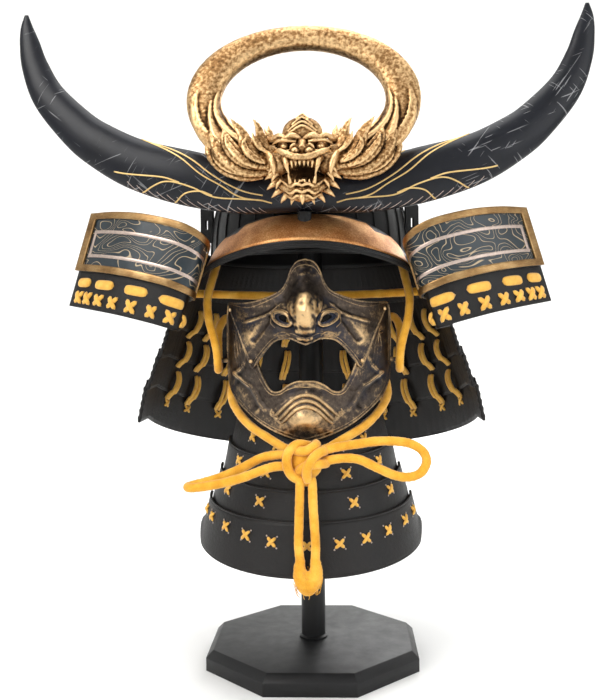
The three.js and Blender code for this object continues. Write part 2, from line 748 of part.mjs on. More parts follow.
// Jaw plate: a U from cheek to cheek. Each row pairs a point of the outer edge with one of the mouth's edge.
const jawRows = [
  { outX: 0.0, outZ: 0.0, inX: 0.0, inZ: 0.342 },
  { outX: 0.17, outZ: 0.026, inX: 0.1, inZ: 0.34 },
  { outX: 0.33, outZ: 0.056, inX: 0.2, inZ: 0.318 },
  { outX: 0.47, outZ: 0.09, inX: 0.28, inZ: 0.287 },
  { outX: 0.6, outZ: 0.13, inX: 0.36, inZ: 0.28 },
  { outX: 0.73, outZ: 0.18, inX: 0.42, inZ: 0.302 },
  { outX: 0.86, outZ: 0.24, inX: 0.48, inZ: 0.36 },
  { outX: 0.94, outZ: 0.31, inX: 0.53, inZ: 0.42 },
  { outX: 0.97, outZ: 0.4, inX: 0.585, inZ: 0.5 },
  { outX: 0.975, outZ: 0.49, inX: 0.63, inZ: 0.57 },
  { outX: 0.975, outZ: 0.6, inX: 0.68, inZ: 0.64 },
  { outX: 0.97, outZ: 0.7, inX: 0.74, inZ: 0.7 },
  { outX: 0.95, outZ: 0.762, inX: 0.8, inZ: 0.755 },
];
// A strip of the mask whose rows run from its middle to one side, mirrored for the other side
function maskStrip(rows, first, second, across, low, high) {
  const last = rows.length - 1;
  const surface = (lift) => (u, v) => {
    const signed = Math.round(2 * last * u) - last;
    const row = rows[Math.abs(signed)];
    const side = Math.sign(signed);
    const a = maskAt(side * row[first[0]], row[first[1]]);
    const b = maskAt(side * row[second[0]], row[second[1]]);
    return maskPoint(lerp(a.x, b.x, v), lerp(a.z, b.z, v), lift);
  };
  return wall(2 * last, across, surface(high), surface(low));
}
add("mask_jaw", maskStrip(jawRows, ["outX", "outZ"], ["inX", "inZ"], 5, -maskWall, 0), "bronze");

// Nose plate: the upper plate that overlaps the jaw plate's cheeks and is riveted to them
const noseRows = [
  { topX: 0.0, topZ: 1.0, lowX: 0.0, lowZ: 0.548 },
  { topX: 0.085, topZ: 0.985, lowX: 0.075, lowZ: 0.562 },
  { topX: 0.145, topZ: 0.94, lowX: 0.15, lowZ: 0.577 },
  { topX: 0.18, topZ: 0.885, lowX: 0.225, lowZ: 0.577 },
  { topX: 0.245, topZ: 0.838, lowX: 0.3, lowZ: 0.565 },
  { topX: 0.345, topZ: 0.81, lowX: 0.375, lowZ: 0.539 },
  { topX: 0.445, topZ: 0.792, lowX: 0.45, lowZ: 0.497 },
  { topX: 0.545, topZ: 0.779, lowX: 0.52, lowZ: 0.451 },
  { topX: 0.64, topZ: 0.773, lowX: 0.588, lowZ: 0.408 },
  { topX: 0.73, topZ: 0.771, lowX: 0.663, lowZ: 0.488 },
  { topX: 0.8, topZ: 0.771, lowX: 0.735, lowZ: 0.586 },
  { topX: 0.865, topZ: 0.773, lowX: 0.81, lowZ: 0.667 },
  { topX: 0.9, topZ: 0.768, lowX: 0.862, lowZ: 0.728 },
];
const noseLow = clearance + 0.1;
add(
  "mask_nose",
  maskStrip(noseRows, ["lowX", "lowZ"], ["topX", "topZ"], 6, noseLow, noseLow + maskWall),
  "bronze",
);

// Places a turned piece whose axis is +Z on the mask's face, standing along its normal
function onMask(geometry, x, z, lift) {
  const foot = maskPoint(x, z, lift);
  const normal = maskPoint(x, z, lift + 1).sub(foot);
  geometry.applyQuaternion(new THREE.Quaternion().setFromUnitVectors(point(0, 0, 1), normal));
  geometry.translate(foot.x, foot.y, foot.z);
  return geometry;
}
function rivet() {
  const r = rivetDiameter / 2;
  const profile = [[0, 0], [r, 0], [r * 0.9, r * 0.4], [r * 0.5, r * 0.75], [0, r * 0.85]];
  const geometry = new THREE.LatheGeometry(profile.map(([a, b]) => new THREE.Vector2(a, b)), 10);
  return geometry.rotateX(Math.PI / 2);
}
const rivetPlaces = { cheek: { x: 0.84, z: 0.735 }, mouth: { x: 0.587, z: 0.447 } };
for (const [name, place] of Object.entries(rivetPlaces)) {
  const { x, z } = maskAt(place.x, place.z);
  addPair(`rivet_${name}`, onMask(rivet(), x, z, noseLow + maskWall + clearance), "bronze");
}
function peg() {
  const [r, head] = [pegDiameter / 2, pegDiameter * 0.85];
  const neck = [[0, 0], [r, 0], [r, pegLength - 3]];
  const profile = [...neck, [head, pegLength - 2.4], [head * 0.7, pegLength], [0, pegLength]];
  const geometry = new THREE.LatheGeometry(profile.map(([a, b]) => new THREE.Vector2(a, b)), 10);
  return geometry.rotateX(Math.PI / 2);
}
const pegPlace = maskAt(0.972, 0.44);
addPair("cheek_peg", onMask(peg(), pegPlace.x, pegPlace.z, clearance), "bronze");

// Throat guard. Rows: the upper edge of each lame, and the last one's lower edge, as shares of the named sizes.
const throatEdges = [
  { wide: 0.62, deep: 0.68, drop: 0.0, endDrop: -0.24 },
  { wide: 0.731, deep: 0.796, drop: 0.174, endDrop: 0.09 },
  { wide: 0.806, deep: 0.852, drop: 0.403, endDrop: 0.306 },
  { wide: 0.907, deep: 0.926, drop: 0.612, endDrop: 0.537 },
  { wide: 1.0, deep: 1.0, drop: 1.0, endDrop: 0.876 },
];
const throatTop = rimHeight - throatDrop + throatHeight;
function throatEdge(j) {
  const e = throatEdges[j];
  return {
    side: (e.wide * throatWidth) / 2,
    front: e.deep * throatDepth,
    zFront: throatTop - e.drop * throatHeight,
    zEnd: throatTop - e.endDrop * throatHeight,
  };
}
// The profile of a lame: its top edge, the level of the next lame's top, and a lap hidden behind that lame
function throatProfile(j) {
  const [a, b] = [throatEdge(j), throatEdge(j + 1)];
  if (j === throatEdges.length - 2) return [a, b, b];
  const next = throatEdge(j + 2);
  const inset = throatWall + clearance + 0.3;
  const knee = { ...b, side: b.side - inset, front: b.front - inset };
  const lap = {
    side: knee.side + slopeOf(b, next, "side", "zEnd") * throatLap * 0.8,
    front: knee.front + slopeOf(b, next, "front", "zFront") * throatLap * 0.8,
    zFront: knee.zFront - throatLap,
    zEnd: knee.zEnd - throatLap,
  };
  return [a, knee, lap];
}
function throatLame(j) {
  const profile = throatProfile(j);
  const rows = j === throatEdges.length - 2 ? 1 : 2;
  const surface = (inset) => (u, v) => {
    const row = profile[Math.round(v * rows)];
    const angle = degrees(lerp(-90, 90, u));
    return point(
      (row.side - inset) * Math.sin(angle),
      throatSetback - (row.front - inset) * Math.cos(angle),
      lerp(row.zEnd, row.zFront, Math.cos(angle)),
    );
  };
  return wall(18, rows, surface(0), surface(throatWall));
}
for (let j = 0; j < 4; j += 1) add(`throat_lame_${j + 1}`, throatLame(j), "leather");

// Cords. Each route is a list of points chosen by hand, for the right side.
const chinCordRoute = [
  [90.3, -38, 403.9], [90.9, -39, 397.5], [93, -50, 385], [96, -62, 366], [94, -68, 346], [89, -70, 328],
  [86.5, -69.5, 315], [86, -67.8, 304], [86.5, -60.5, 298.4], [87, -53.2, 304], [88, -49, 320], [88, -40, 338],
  [82, -28, 348], [73, -24, 341], [68, -28, 322], [69, -36, 300], [74.5, -47, 283], [74, -62, 271.5],
  [65, -83, 259.5], [51, -103, 248.5], [33, -120, 239.5], [21, -129.5, 233.6], [13.4, -134.6, 231.4],
];
const rightLoopRoute = [
  [17.4, -145, 233.2], [28, -147, 236], [43, -149, 238.5], [60, -150, 241], [76, -150, 241], [90, -149, 238.5],
  [100, -149, 232], [103, -149, 223], [98, -150, 214], [88, -151, 210.5], [76, -151, 212], [62, -151, 218],
  [46, -151, 225.5], [32, -149, 226.5], [17.4, -146.5, 224],
];
const leftLoopRoute = [
  [-16.7, -143.2, 229], [-28, -143.5, 228.5], [-40, -142, 225.5], [-55, -140.5, 217.5], [-72, -139.5, 210],
  [-88, -140, 205], [-98, -142.5, 202.8], [-102, -148, 202], [-98, -154, 202.3], [-88, -155.5, 203.5],
  [-72, -154.5, 206.2], [-55, -153, 210.5], [-38, -151.5, 216.5], [-27, -149.5, 219.5], [-16.7, -148, 219.6],
];
const rightEndRoute = [
  [5.6, -152, 204.2], [6, -154.5, 190], [7, -156, 172], [8, -157, 154], [7.5, -157.5, 139.2],
];
const leftEndRoute = [
  [-5, -152, 204.2], [-5.4, -154.5, 190], [-6, -156, 172], [-6.4, -157, 154], [-5, -157.5, 139.2],
];
const browCordRoute = [
  [-114.4, -40, 372], [-100, -42, 371.5], [-60, -52, 369.5], [0, -58, 368], [60, -52, 369.5], [100, -42, 371.5],
  [114.4, -40, 372],
];
const route = (places) => {
  return new THREE.CatmullRomCurve3(places.map(([x, y, z]) => point(x, y, z)), false, "centripetal");
};
const cord = (points, steps) => bar(route(points), cordDiameter, steps);
addPair("chin_cord", cord(chinCordRoute, 38), "cord");
add("bow_loop_right", cord(rightLoopRoute, 22), "cord");
add("bow_loop_left", cord(leftLoopRoute, 22), "cord");
add("cord_end_right", cord(rightEndRoute, 5), "cord");
add("cord_end_left", cord(leftEndRoute, 5), "cord");
add("brow_cord", cord(browCordRoute, 11), "cord");

// Knot and tuft: plain solids of their outer shapes
function knot() {
  const [centreY, centreZ] = [-145.5, 222];
  const rows = [[-17.4, 0.86], [-14, 1], [12, 1], [16, 0.8]];
  return loft(
    rows.map(([z, size]) => {
      return Array.from({ length: 16 }, (_, k) => {
        const angle = ((k + 0.5) * Math.PI) / 8;
        const [c, s] = [Math.cos(angle), Math.sin(angle)];
        const square = (v) => Math.sign(v) * Math.pow(Math.abs(v), 0.5);
        return point(16.2 * size * square(c), centreY + 9.6 * size * square(s), centreZ + z);
      });
    }),
  );
}
add("cord_knot", knot(), "cord");
const tuftSetback = -157.5;
function tuft() {
  const rows = [[138.6, 11.5, 5.2], [130, 13.5, 6.5], [120, 12.2, 6.2], [112, 8.5, 5], [109, 5, 3]];
  return loft(
    rows.map(([z, wide, deep]) => {
      return Array.from({ length: 12 }, (_, k) => {
        const angle = (k * Math.PI) / 6;
        return point(1.2 + wide * Math.cos(angle), tuftSetback + deep * Math.sin(angle), z);
      });
    }),
  );
}
add("cord_tuft", tuft(), "cord");

export default kabuto;
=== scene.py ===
# %% [markdown]
# # A kabuto on its stand
# This lesson dresses a samurai helmet: horns, a ring and dragon crest, turnbacks, a laced neck guard, a fierce
# half mask, a throat guard, a tied cord and a small octagonal stand. The plain solids were made before, and
# load as the frame. Each cell below takes one piece, says what it is on the real object, and gives it the
# shape and finish that the solid lacks. Everything is worked out in millimetres and scaled to metres at the end.
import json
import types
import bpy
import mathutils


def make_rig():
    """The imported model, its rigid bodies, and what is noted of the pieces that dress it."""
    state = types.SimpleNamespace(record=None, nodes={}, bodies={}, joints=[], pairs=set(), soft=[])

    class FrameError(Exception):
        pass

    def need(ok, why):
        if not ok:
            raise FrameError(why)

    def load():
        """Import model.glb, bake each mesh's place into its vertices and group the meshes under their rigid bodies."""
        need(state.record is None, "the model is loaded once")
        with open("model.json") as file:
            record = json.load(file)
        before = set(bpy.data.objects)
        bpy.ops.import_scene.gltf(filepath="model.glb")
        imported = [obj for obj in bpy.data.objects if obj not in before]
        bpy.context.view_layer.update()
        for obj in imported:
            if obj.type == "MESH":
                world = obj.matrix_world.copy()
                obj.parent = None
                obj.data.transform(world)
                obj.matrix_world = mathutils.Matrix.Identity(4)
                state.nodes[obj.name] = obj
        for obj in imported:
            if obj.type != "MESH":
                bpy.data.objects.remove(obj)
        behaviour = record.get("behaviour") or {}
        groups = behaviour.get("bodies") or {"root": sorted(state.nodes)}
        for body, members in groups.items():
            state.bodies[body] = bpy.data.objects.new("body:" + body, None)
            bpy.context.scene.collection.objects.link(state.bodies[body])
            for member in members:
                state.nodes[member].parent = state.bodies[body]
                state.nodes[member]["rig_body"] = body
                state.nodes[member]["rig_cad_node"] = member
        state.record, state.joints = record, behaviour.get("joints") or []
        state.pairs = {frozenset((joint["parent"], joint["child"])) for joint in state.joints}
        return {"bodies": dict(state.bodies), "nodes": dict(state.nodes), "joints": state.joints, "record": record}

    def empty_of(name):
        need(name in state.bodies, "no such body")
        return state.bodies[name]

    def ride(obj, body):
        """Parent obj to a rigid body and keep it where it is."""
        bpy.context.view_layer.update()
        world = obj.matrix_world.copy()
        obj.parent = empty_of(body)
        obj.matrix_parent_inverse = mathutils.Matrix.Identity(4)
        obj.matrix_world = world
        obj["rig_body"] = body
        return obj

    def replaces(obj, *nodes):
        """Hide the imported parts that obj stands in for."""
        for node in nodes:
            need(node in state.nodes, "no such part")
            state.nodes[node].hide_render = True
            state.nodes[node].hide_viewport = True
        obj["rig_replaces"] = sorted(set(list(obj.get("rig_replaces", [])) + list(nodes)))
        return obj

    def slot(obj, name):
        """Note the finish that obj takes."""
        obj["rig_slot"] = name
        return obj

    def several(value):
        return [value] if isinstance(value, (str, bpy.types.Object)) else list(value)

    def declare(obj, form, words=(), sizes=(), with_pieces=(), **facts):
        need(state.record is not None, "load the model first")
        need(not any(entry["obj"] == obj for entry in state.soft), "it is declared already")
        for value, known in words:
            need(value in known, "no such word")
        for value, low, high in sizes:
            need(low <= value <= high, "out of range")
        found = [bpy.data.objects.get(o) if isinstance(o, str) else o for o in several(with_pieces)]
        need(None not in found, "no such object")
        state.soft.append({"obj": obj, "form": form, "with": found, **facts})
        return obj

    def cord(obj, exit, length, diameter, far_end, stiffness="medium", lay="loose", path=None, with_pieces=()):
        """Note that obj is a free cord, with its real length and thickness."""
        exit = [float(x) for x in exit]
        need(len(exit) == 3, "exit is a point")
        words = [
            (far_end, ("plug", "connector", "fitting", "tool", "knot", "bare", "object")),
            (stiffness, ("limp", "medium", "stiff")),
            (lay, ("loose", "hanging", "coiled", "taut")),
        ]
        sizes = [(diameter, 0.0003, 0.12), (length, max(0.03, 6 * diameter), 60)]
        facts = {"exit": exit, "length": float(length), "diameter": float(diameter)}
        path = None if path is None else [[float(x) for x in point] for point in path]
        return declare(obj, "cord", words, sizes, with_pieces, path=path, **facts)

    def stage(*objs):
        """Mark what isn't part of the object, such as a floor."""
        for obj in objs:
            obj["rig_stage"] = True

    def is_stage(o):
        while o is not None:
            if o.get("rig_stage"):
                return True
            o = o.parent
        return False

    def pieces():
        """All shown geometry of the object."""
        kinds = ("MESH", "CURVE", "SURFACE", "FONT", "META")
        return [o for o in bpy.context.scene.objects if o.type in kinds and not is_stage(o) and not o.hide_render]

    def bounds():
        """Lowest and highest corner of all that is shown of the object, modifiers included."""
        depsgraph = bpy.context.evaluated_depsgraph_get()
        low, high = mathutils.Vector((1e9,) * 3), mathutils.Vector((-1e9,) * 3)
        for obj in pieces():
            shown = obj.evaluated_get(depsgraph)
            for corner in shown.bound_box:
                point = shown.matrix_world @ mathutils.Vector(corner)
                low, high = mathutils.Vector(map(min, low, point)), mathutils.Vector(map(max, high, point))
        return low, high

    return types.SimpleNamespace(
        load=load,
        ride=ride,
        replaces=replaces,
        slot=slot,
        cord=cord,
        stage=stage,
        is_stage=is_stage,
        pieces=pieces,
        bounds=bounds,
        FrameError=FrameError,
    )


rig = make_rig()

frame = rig.load()

import json
import math
import random

import bmesh
import bpy
import numpy as np
from mathutils import Matrix, Vector, noise

cad_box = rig.bounds()
MM = 0.001
print("frame loaded:", len(frame["nodes"]), "solids")

# %% [markdown]
# The sizes below are those of the plain solids. They are repeated here because a scene reads nothing but the
# frame. Keeping them as named values lets every piece of the lesson sit on its neighbour.

# %% Sizes of the helmet, in millimetres
CLEAR = 0.4
RIM = 405.0
BOWL_WIDTH, BOWL_DEPTH, BOWL_HEIGHT, BOWL_SETBACK = 200.0, 230.0, 120.0, 5.0
PLINTH_WIDTH, PLINTH_HEIGHT, PLINTH_CHAMFER, POST = 210.0, 20.0, 7.0, 24.5
VISOR_REACH, VISOR_RISE, VISOR_SPAN, VISOR_DROOP, VISOR_WALL = 36.0, 35.0, 202.0, 19.0, 2.5
VISOR_BEAD, VISOR_TURN, VISOR_SIDE_DROP, VISOR_SWEEP = 5.2, math.radians(78), 38.0, 110.0
HORN_REACH, HORN_RISE, HORN_GIRTH, HORN_FLAT = 252.0, 162.0, 49.2, 0.46
HORN_LEVEL, HORN_STANDOFF, HORN_SWEEP = 57.0, 2.0, 18.0
RING_WIDTH, RING_HEIGHT, RING_SIDE, RING_TOP, RING_DEPTH = 205.0, 137.0, 31.0, 20.5, 18.0
RING_LEAN, RING_LEVEL = math.radians(12), 132.0
NECK_WALL, NECK_LAP, NECK_DROP, NECK_BACK_DROP = 2.5, 8.0, 159.0, 211.0
NECK_FLARE, NECK_BACK_FLARE, NECK_FORWARD = 68.0, 44.0, 57.0
TURN_REACH, TURN_HEIGHT, TURN_WALL, TURN_SHARE = 230.0, 87.0, 3.0, 0.62
MASK_WIDTH, MASK_HEIGHT, MASK_DEPTH, MASK_SETBACK, MASK_WALL = 160.0, 162.0, 92.0, -34.0, 2.2
MASK_CHIN, NOSE_REACH, CHIN_BOSS = RIM - 169.0, 25.0, 8.0
THROAT_WALL, THROAT_WIDTH, THROAT_DEPTH, THROAT_SETBACK = 2.4, 216.0, 108.0, -40.0
THROAT_TOP, THROAT_HEIGHT, THROAT_LAP = RIM - 283.0 + 121.0, 121.0, 8.0
CORD = 8.0
print("rim of the bowl at", RIM, "mm")

# %% [markdown]
# Nearly every part of armour is a curved plate, a tube or a bar. A grid is the easiest start for all three:
# Blender makes the flat grid and its UV map, and each vertex is then moved to its place on the curved form.
# The UV map stays with it, so a pattern can follow the plate. These helpers do that once, for all pieces.

# %% Helpers for curves
def lerp(a, b, t):
    return a + (b - a) * t


def clamp(value, low=0.0, high=1.0):
    return max(low, min(high, value))


def smooth(edge0, edge1, value):
    t = clamp((value - edge0) / (edge1 - edge0))
    return t * t * (3 - 2 * t)


def bump(value, centre, width):
    return math.exp(-(((value - centre) / width) ** 2))


def eased(rows, t):
    """A smooth value between the rows of a table, t running from 0 to 1."""
    last = len(rows) - 1
    i = min(int(clamp(t) * last), last - 1)
    f = clamp(t) * last - i
    a, b = rows[i], rows[i + 1]
    before = rows[i - 1] if i > 0 else tuple(2 * p - q for p, q in zip(a, b))
    after = rows[i + 2] if i + 2 <= last else tuple(2 * q - p for p, q in zip(a, b))
    return tuple(
        0.5 * (2 * p1 + (p2 - p0) * f + (2 * p0 - 5 * p1 + 4 * p2 - p3) * f**2 + (3 * p1 - p0 - 3 * p2 + p3) * f**3)
        for p0, p1, p2, p3 in zip(before, a, b, after)
    )


def through(points):
    """A smooth path through points, as a function of 0 to 1."""
    return lambda t: Vector(eased(points, t))


print("halfway between two rows:", eased([(0.0,), (1.0,), (0.0,)], 0.25))

# %% Helpers for meshes
def sheet(across, along, place):
    """A grid of across by along cells, moved to place(u, v)."""
    bm = bmesh.new()
    bm.loops.layers.uv.new("UVMap")
    bmesh.ops.create_grid(bm, x_segments=across, y_segments=along, size=0.5, calc_uvs=True)
    for vertex in bm.verts:
        vertex.co = place(vertex.co.x + 0.5, vertex.co.y + 0.5)
    return bm


def closed_tube(bm, fill=True):
    """Joins the seam of a rolled-up sheet and fills its two ends."""
    bmesh.ops.remove_doubles(bm, verts=bm.verts, dist=0.002)
    if fill:
        bmesh.ops.holes_fill(bm, edges=[e for e in bm.edges if e.is_boundary], sides=0)
    bmesh.ops.recalc_face_normals(bm, faces=bm.faces)
    return bm


def tube(path, radius, sides=10, steps=24, flat=1.0, fill=True):
    """A round bar along path(t). radius is a number or a function of t."""
    girth = radius if callable(radius) else (lambda t: radius)
    points = [path(i / steps) for i in range(steps + 1)]
    frames = []
    side = None
    for i in range(steps + 1):
        along = (points[min(i + 1, steps)] - points[max(i - 1, 0)]).normalized()
        if side is None:
            side = along.orthogonal().normalized()
        side = (side - along * side.dot(along)).normalized()
        frames.append((side.copy(), along.cross(side)))

    def place(u, v):
        i = min(steps, round(v * steps))
        a, b = frames[i]
        angle = u * math.tau
        return points[i] + (a * math.cos(angle) + b * math.sin(angle) * flat) * girth(v)

    return closed_tube(sheet(sides, steps, place), fill)


print("sheets and tubes can be made")

# %% Joining and mirroring
def gather(*parts):
    """One bmesh from several, which are used up."""
    whole = bmesh.new()
    whole.loops.layers.uv.new("UVMap")
    for bm in parts:
        scrap = bpy.data.meshes.new("scrap")
        bm.to_mesh(scrap)
        bm.free()
        whole.from_mesh(scrap)
        bpy.data.meshes.remove(scrap)
    return whole


def mirrored(bm):
    """The other side's copy: X is turned over, and the faces are turned back out."""
    copy = bm.copy()
    bmesh.ops.scale(copy, vec=(-1, 1, 1), verts=copy.verts)
    bmesh.ops.reverse_faces(copy, faces=copy.faces)
    return copy


print("parts can be joined and mirrored")

# %% [markdown]
# Every piece ends the same way: its faces are turned outwards, it is scaled from millimetres to metres, and it
# becomes an object with its finish. A plate gets its wall from a Solidify modifier, which grows inwards from the
# front that was drawn. The piece is told which body it rides on, and which plain solids it stands for.

# %% A finished piece
def piece(bm, name, finish, slot, nodes=(), facing=None, wall=0.0, crease=None):
    """A finished object from a bmesh in millimetres."""
    bm.normal_update()
    if facing is not None:
        total = Vector()
        for face in bm.faces:
            total += face.normal * face.calc_area()
        if total.dot(Vector(facing)) < 0:
            bmesh.ops.reverse_faces(bm, faces=bm.faces)
    bmesh.ops.scale(bm, vec=(MM, MM, MM), verts=bm.verts)
    mesh = bpy.data.meshes.new(name)
    bm.to_mesh(mesh)
    bm.free()
    mesh.shade_smooth()
    if crease is not None:
        mesh.set_sharp_from_angle(angle=math.radians(crease))
    obj = bpy.data.objects.new(name, mesh)
    bpy.context.scene.collection.objects.link(obj)
    mesh.materials.append(finish)
    if wall:
        solid = obj.modifiers.new("wall", "SOLIDIFY")
        solid.thickness = wall * MM
        solid.offset = -1
    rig.ride(obj, "root")
    if slot:
        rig.slot(obj, slot)
    if nodes:
        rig.replaces(obj, *nodes)
    return obj


def both_sides(bm, name, finish, slot, nodes, **more):
    """A piece for the right and its mirror image for the left."""
    other = mirrored(bm)
    facing = more.pop("facing", None)
    made = []
    for word, part, flip in (("right", bm, 1), ("left", other, -1)):
        face = None if facing is None else (facing[0] * flip, facing[1], facing[2])
        names = [n + "_" + word for n in nodes]
        made.append(piece(part, name + "_" + word, finish, slot, names, facing=face, **more))
    return made


print("pieces can be finished")

# %% [markdown]
# Old metal is bright where it stands proud and dark in its hollows. To find those places, each point is compared
# with the calm surface that is left when its neighbours are averaged a few times. The difference is kept in the
# mesh as an attribute, which a material can read.

# %% Marks of wear
def rub_marks(obj, reach=6, height=0.35):
    """Stores how far each point stands proud of its surroundings as the attribute rub: 0 hollow, 1 ridge."""
    mesh = obj.data
    count = len(mesh.vertices)
    places = np.empty(count * 3)
    normals = np.empty(count * 3)
    edges = np.empty(len(mesh.edges) * 2, dtype=np.int64)
    mesh.vertices.foreach_get("co", places)
    mesh.vertex_normals.foreach_get("vector", normals)
    mesh.edges.foreach_get("vertices", edges)
    places, normals, edges = places.reshape(-1, 3), normals.reshape(-1, 3), edges.reshape(-1, 2)
    both = np.concatenate([edges, edges[:, ::-1]])
    degree = np.maximum(1, np.bincount(both[:, 0], minlength=count))
    calm = places.copy()
    for _ in range(reach):
        calm = np.stack(
            [np.bincount(both[:, 0], weights=calm[both[:, 1], k], minlength=count) / degree for k in range(3)], 1
        )
    proud = ((places - calm) * normals).sum(1) / (height * MM)
    layer = mesh.attributes.new("rub", "FLOAT", "POINT")
    layer.data.foreach_set("value", np.clip(0.5 + 0.5 * proud, 0, 1).astype(np.float32))


print("ridges and hollows can be marked")

# %% [markdown]
# The forms of the big pieces come next, as small functions that give a point of each surface. They repeat the
# tables of the plain solids, but ease between the rows, so the dressed pieces are smooth where the solids are
# faceted.

# %% The bowl and the visor
def dome_radius(share):
    return (1 - clamp(share) ** 2.4) ** (1 / 2.2)


def bowl_point(angle, share, lift=0.0):
    """angle runs round from the front; share is the height up the dome."""
    r = dome_radius(share)
    return Vector((
        (BOWL_WIDTH / 2 + lift) * r * math.sin(angle),
        BOWL_SETBACK - (BOWL_DEPTH / 2 + lift) * r * math.cos(angle),
        RIM + share * (BOWL_HEIGHT + lift),
    ))


def visor_joint(angle, drop=0.0):
    height = VISOR_RISE - drop - VISOR_SIDE_DROP * abs(math.sin(angle * 0.9)) ** 3
    r = dome_radius(max(0.0, height) / BOWL_HEIGHT)
    gap = CLEAR + 0.2
    return Vector((
        BOWL_WIDTH / 2 * r * math.sin(angle * 0.9) + gap * math.sin(angle),
        BOWL_SETBACK - BOWL_DEPTH / 2 * r * math.cos(angle * 0.9) - gap * math.cos(angle),
        RIM + height,
    ))


def visor_edge(angle):
    return Vector((
        VISOR_SPAN / 2 * math.sin(angle),
        BOWL_SETBACK - BOWL_DEPTH / 2 - VISOR_REACH + VISOR_SWEEP * (1 - math.cos(angle)),
        RIM + 7 - VISOR_DROOP * math.sin(angle) ** 2,
    ))


def visor_point(u, v, lift=0.0):
    angle = lerp(-VISOR_TURN, VISOR_TURN, u)
    p = visor_joint(angle, max(0.0, -lift)).lerp(visor_edge(angle) + Vector((0, 0, lift)), v)
    p.z += 5 * math.sin(math.pi * v) * math.cos(angle) + max(0.0, lift) * (1 - v)
    return p


print("visor edge in front:", visor_edge(0))

# %% The horns and the ring
HORN_ROWS = [
    (0.0, 0.0, 0.854), (0.12, -0.005, 0.882), (0.237, 0.006, 0.935), (0.416, 0.064, 1.0), (0.594, 0.145, 0.919),
    (0.731, 0.258, 0.821), (0.815, 0.359, 0.74), (0.918, 0.535, 0.622), (0.969, 0.704, 0.5), (0.989, 0.834, 0.382),
    (0.999, 0.924, 0.244), (1.0, 1.0, 0.07),
]
HORN_HALF_DEPTH = HORN_GIRTH / 2 * HORN_FLAT
HORN_Y = BOWL_SETBACK - BOWL_DEPTH / 2 * dome_radius((HORN_LEVEL - HORN_GIRTH * 0.2) / BOWL_HEIGHT)
HORN_Y = HORN_Y - HORN_HALF_DEPTH - HORN_STANDOFF
CREST_BACK = HORN_Y - HORN_HALF_DEPTH - CLEAR


def horn_centre(t):
    out, up, size = eased(HORN_ROWS, t)
    place = Vector((max(out * HORN_REACH, 0.2), HORN_Y + HORN_SWEEP * out * out, RIM + HORN_LEVEL + up * HORN_RISE))
    return place, size * HORN_GIRTH / 2


def horn_point(t, angle, lift=0.0):
    """angle 0 is the horn's upper edge, and a quarter turn further is its back."""
    centre, half = horn_centre(t)
    ahead = horn_centre(min(1, t + 0.01))[0] - horn_centre(max(0, t - 0.01))[0]
    along = Vector((ahead.x, 0, ahead.z)).normalized() if t > 0.02 else Vector((1, 0, 0))
    across = Vector((-along.z, 0, along.x))
    p = centre + across * (half + lift) * math.cos(angle)
    p.y += (half * HORN_FLAT + lift) * math.sin(angle)
    return p


def ring_point(angle, around, lift=0.0):
    """angle 0 is the top of the ring; around 0 is its outer rim and a quarter turn is its back."""
    s, c = math.sin(angle), math.cos(angle)
    band = lerp(RING_SIDE, RING_TOP, c * c) / 2
    middle = Vector(((RING_WIDTH - RING_SIDE) / 2 * s, 0, (RING_HEIGHT - RING_TOP) / 2 * c))
    out = Vector((s / (RING_WIDTH / 2), 0, c / (RING_HEIGHT / 2))).normalized()
    ca, sa = math.cos(around), math.sin(around)
    o = math.copysign(abs(ca) ** 0.75, ca)
    d = math.copysign(abs(sa) ** 0.75, sa)
    p = middle + out * o * (band + lift) + Vector((0, d * (RING_DEPTH / 2 + lift), 0))
    p = Matrix.Rotation(-RING_LEAN, 3, "X") @ p
    p.y += CREST_BACK - RING_DEPTH / 2 - CLEAR + RING_HEIGHT / 2 * math.sin(RING_LEAN)
    p.z += RIM + RING_LEVEL
    return p


print("horn root in front of the bowl at Y", round(HORN_Y, 1), "and crest back at", round(CREST_BACK, 1))

# %% The neck guard and the turnbacks
NECK_ROWS = [
    (0.0, 0.0, 0.0, 0.0), (0.22, 0.204, 0.25, 0.32), (0.421, 0.393, 0.485, 0.57),
    (0.597, 0.578, 0.66, 0.75), (0.792, 0.782, 0.853, 0.89), (1.0, 1.0, 1.0, 1.0),
]
NECK_FORWARDS = [1.0, 1.0, 0.82, 0.76, 0.72]


def neck_edge(k):
    drop, back_drop, flare, back_flare = NECK_ROWS[k]
    return (
        BOWL_WIDTH / 2 + NECK_WALL + CLEAR + 0.1 + flare * NECK_FLARE,
        BOWL_DEPTH / 2 + NECK_WALL + CLEAR + 0.1 + back_flare * NECK_BACK_FLARE,
        RIM - drop * NECK_DROP,
        RIM - back_drop * NECK_BACK_DROP,
    )


def neck_profile(k):
    a, b = neck_edge(k), neck_edge(k + 1)
    step = 0 if k == 0 else NECK_WALL + CLEAR + 0.15
    before = a if k == 0 else neck_profile(k - 1)[1]
    slope = (0, 0) if k == 0 else ((a[0] - before[0]) / (before[2] - a[2]), (a[1] - before[1]) / (before[3] - a[3]))
    lap = 6 if k == 0 else NECK_LAP
    top = (a[0] + step - slope[0] * lap, a[1] + step - slope[1] * lap, a[2] + lap, a[3] + lap)
    return [top, (a[0] + step, a[1] + step, a[2], a[3]), b]


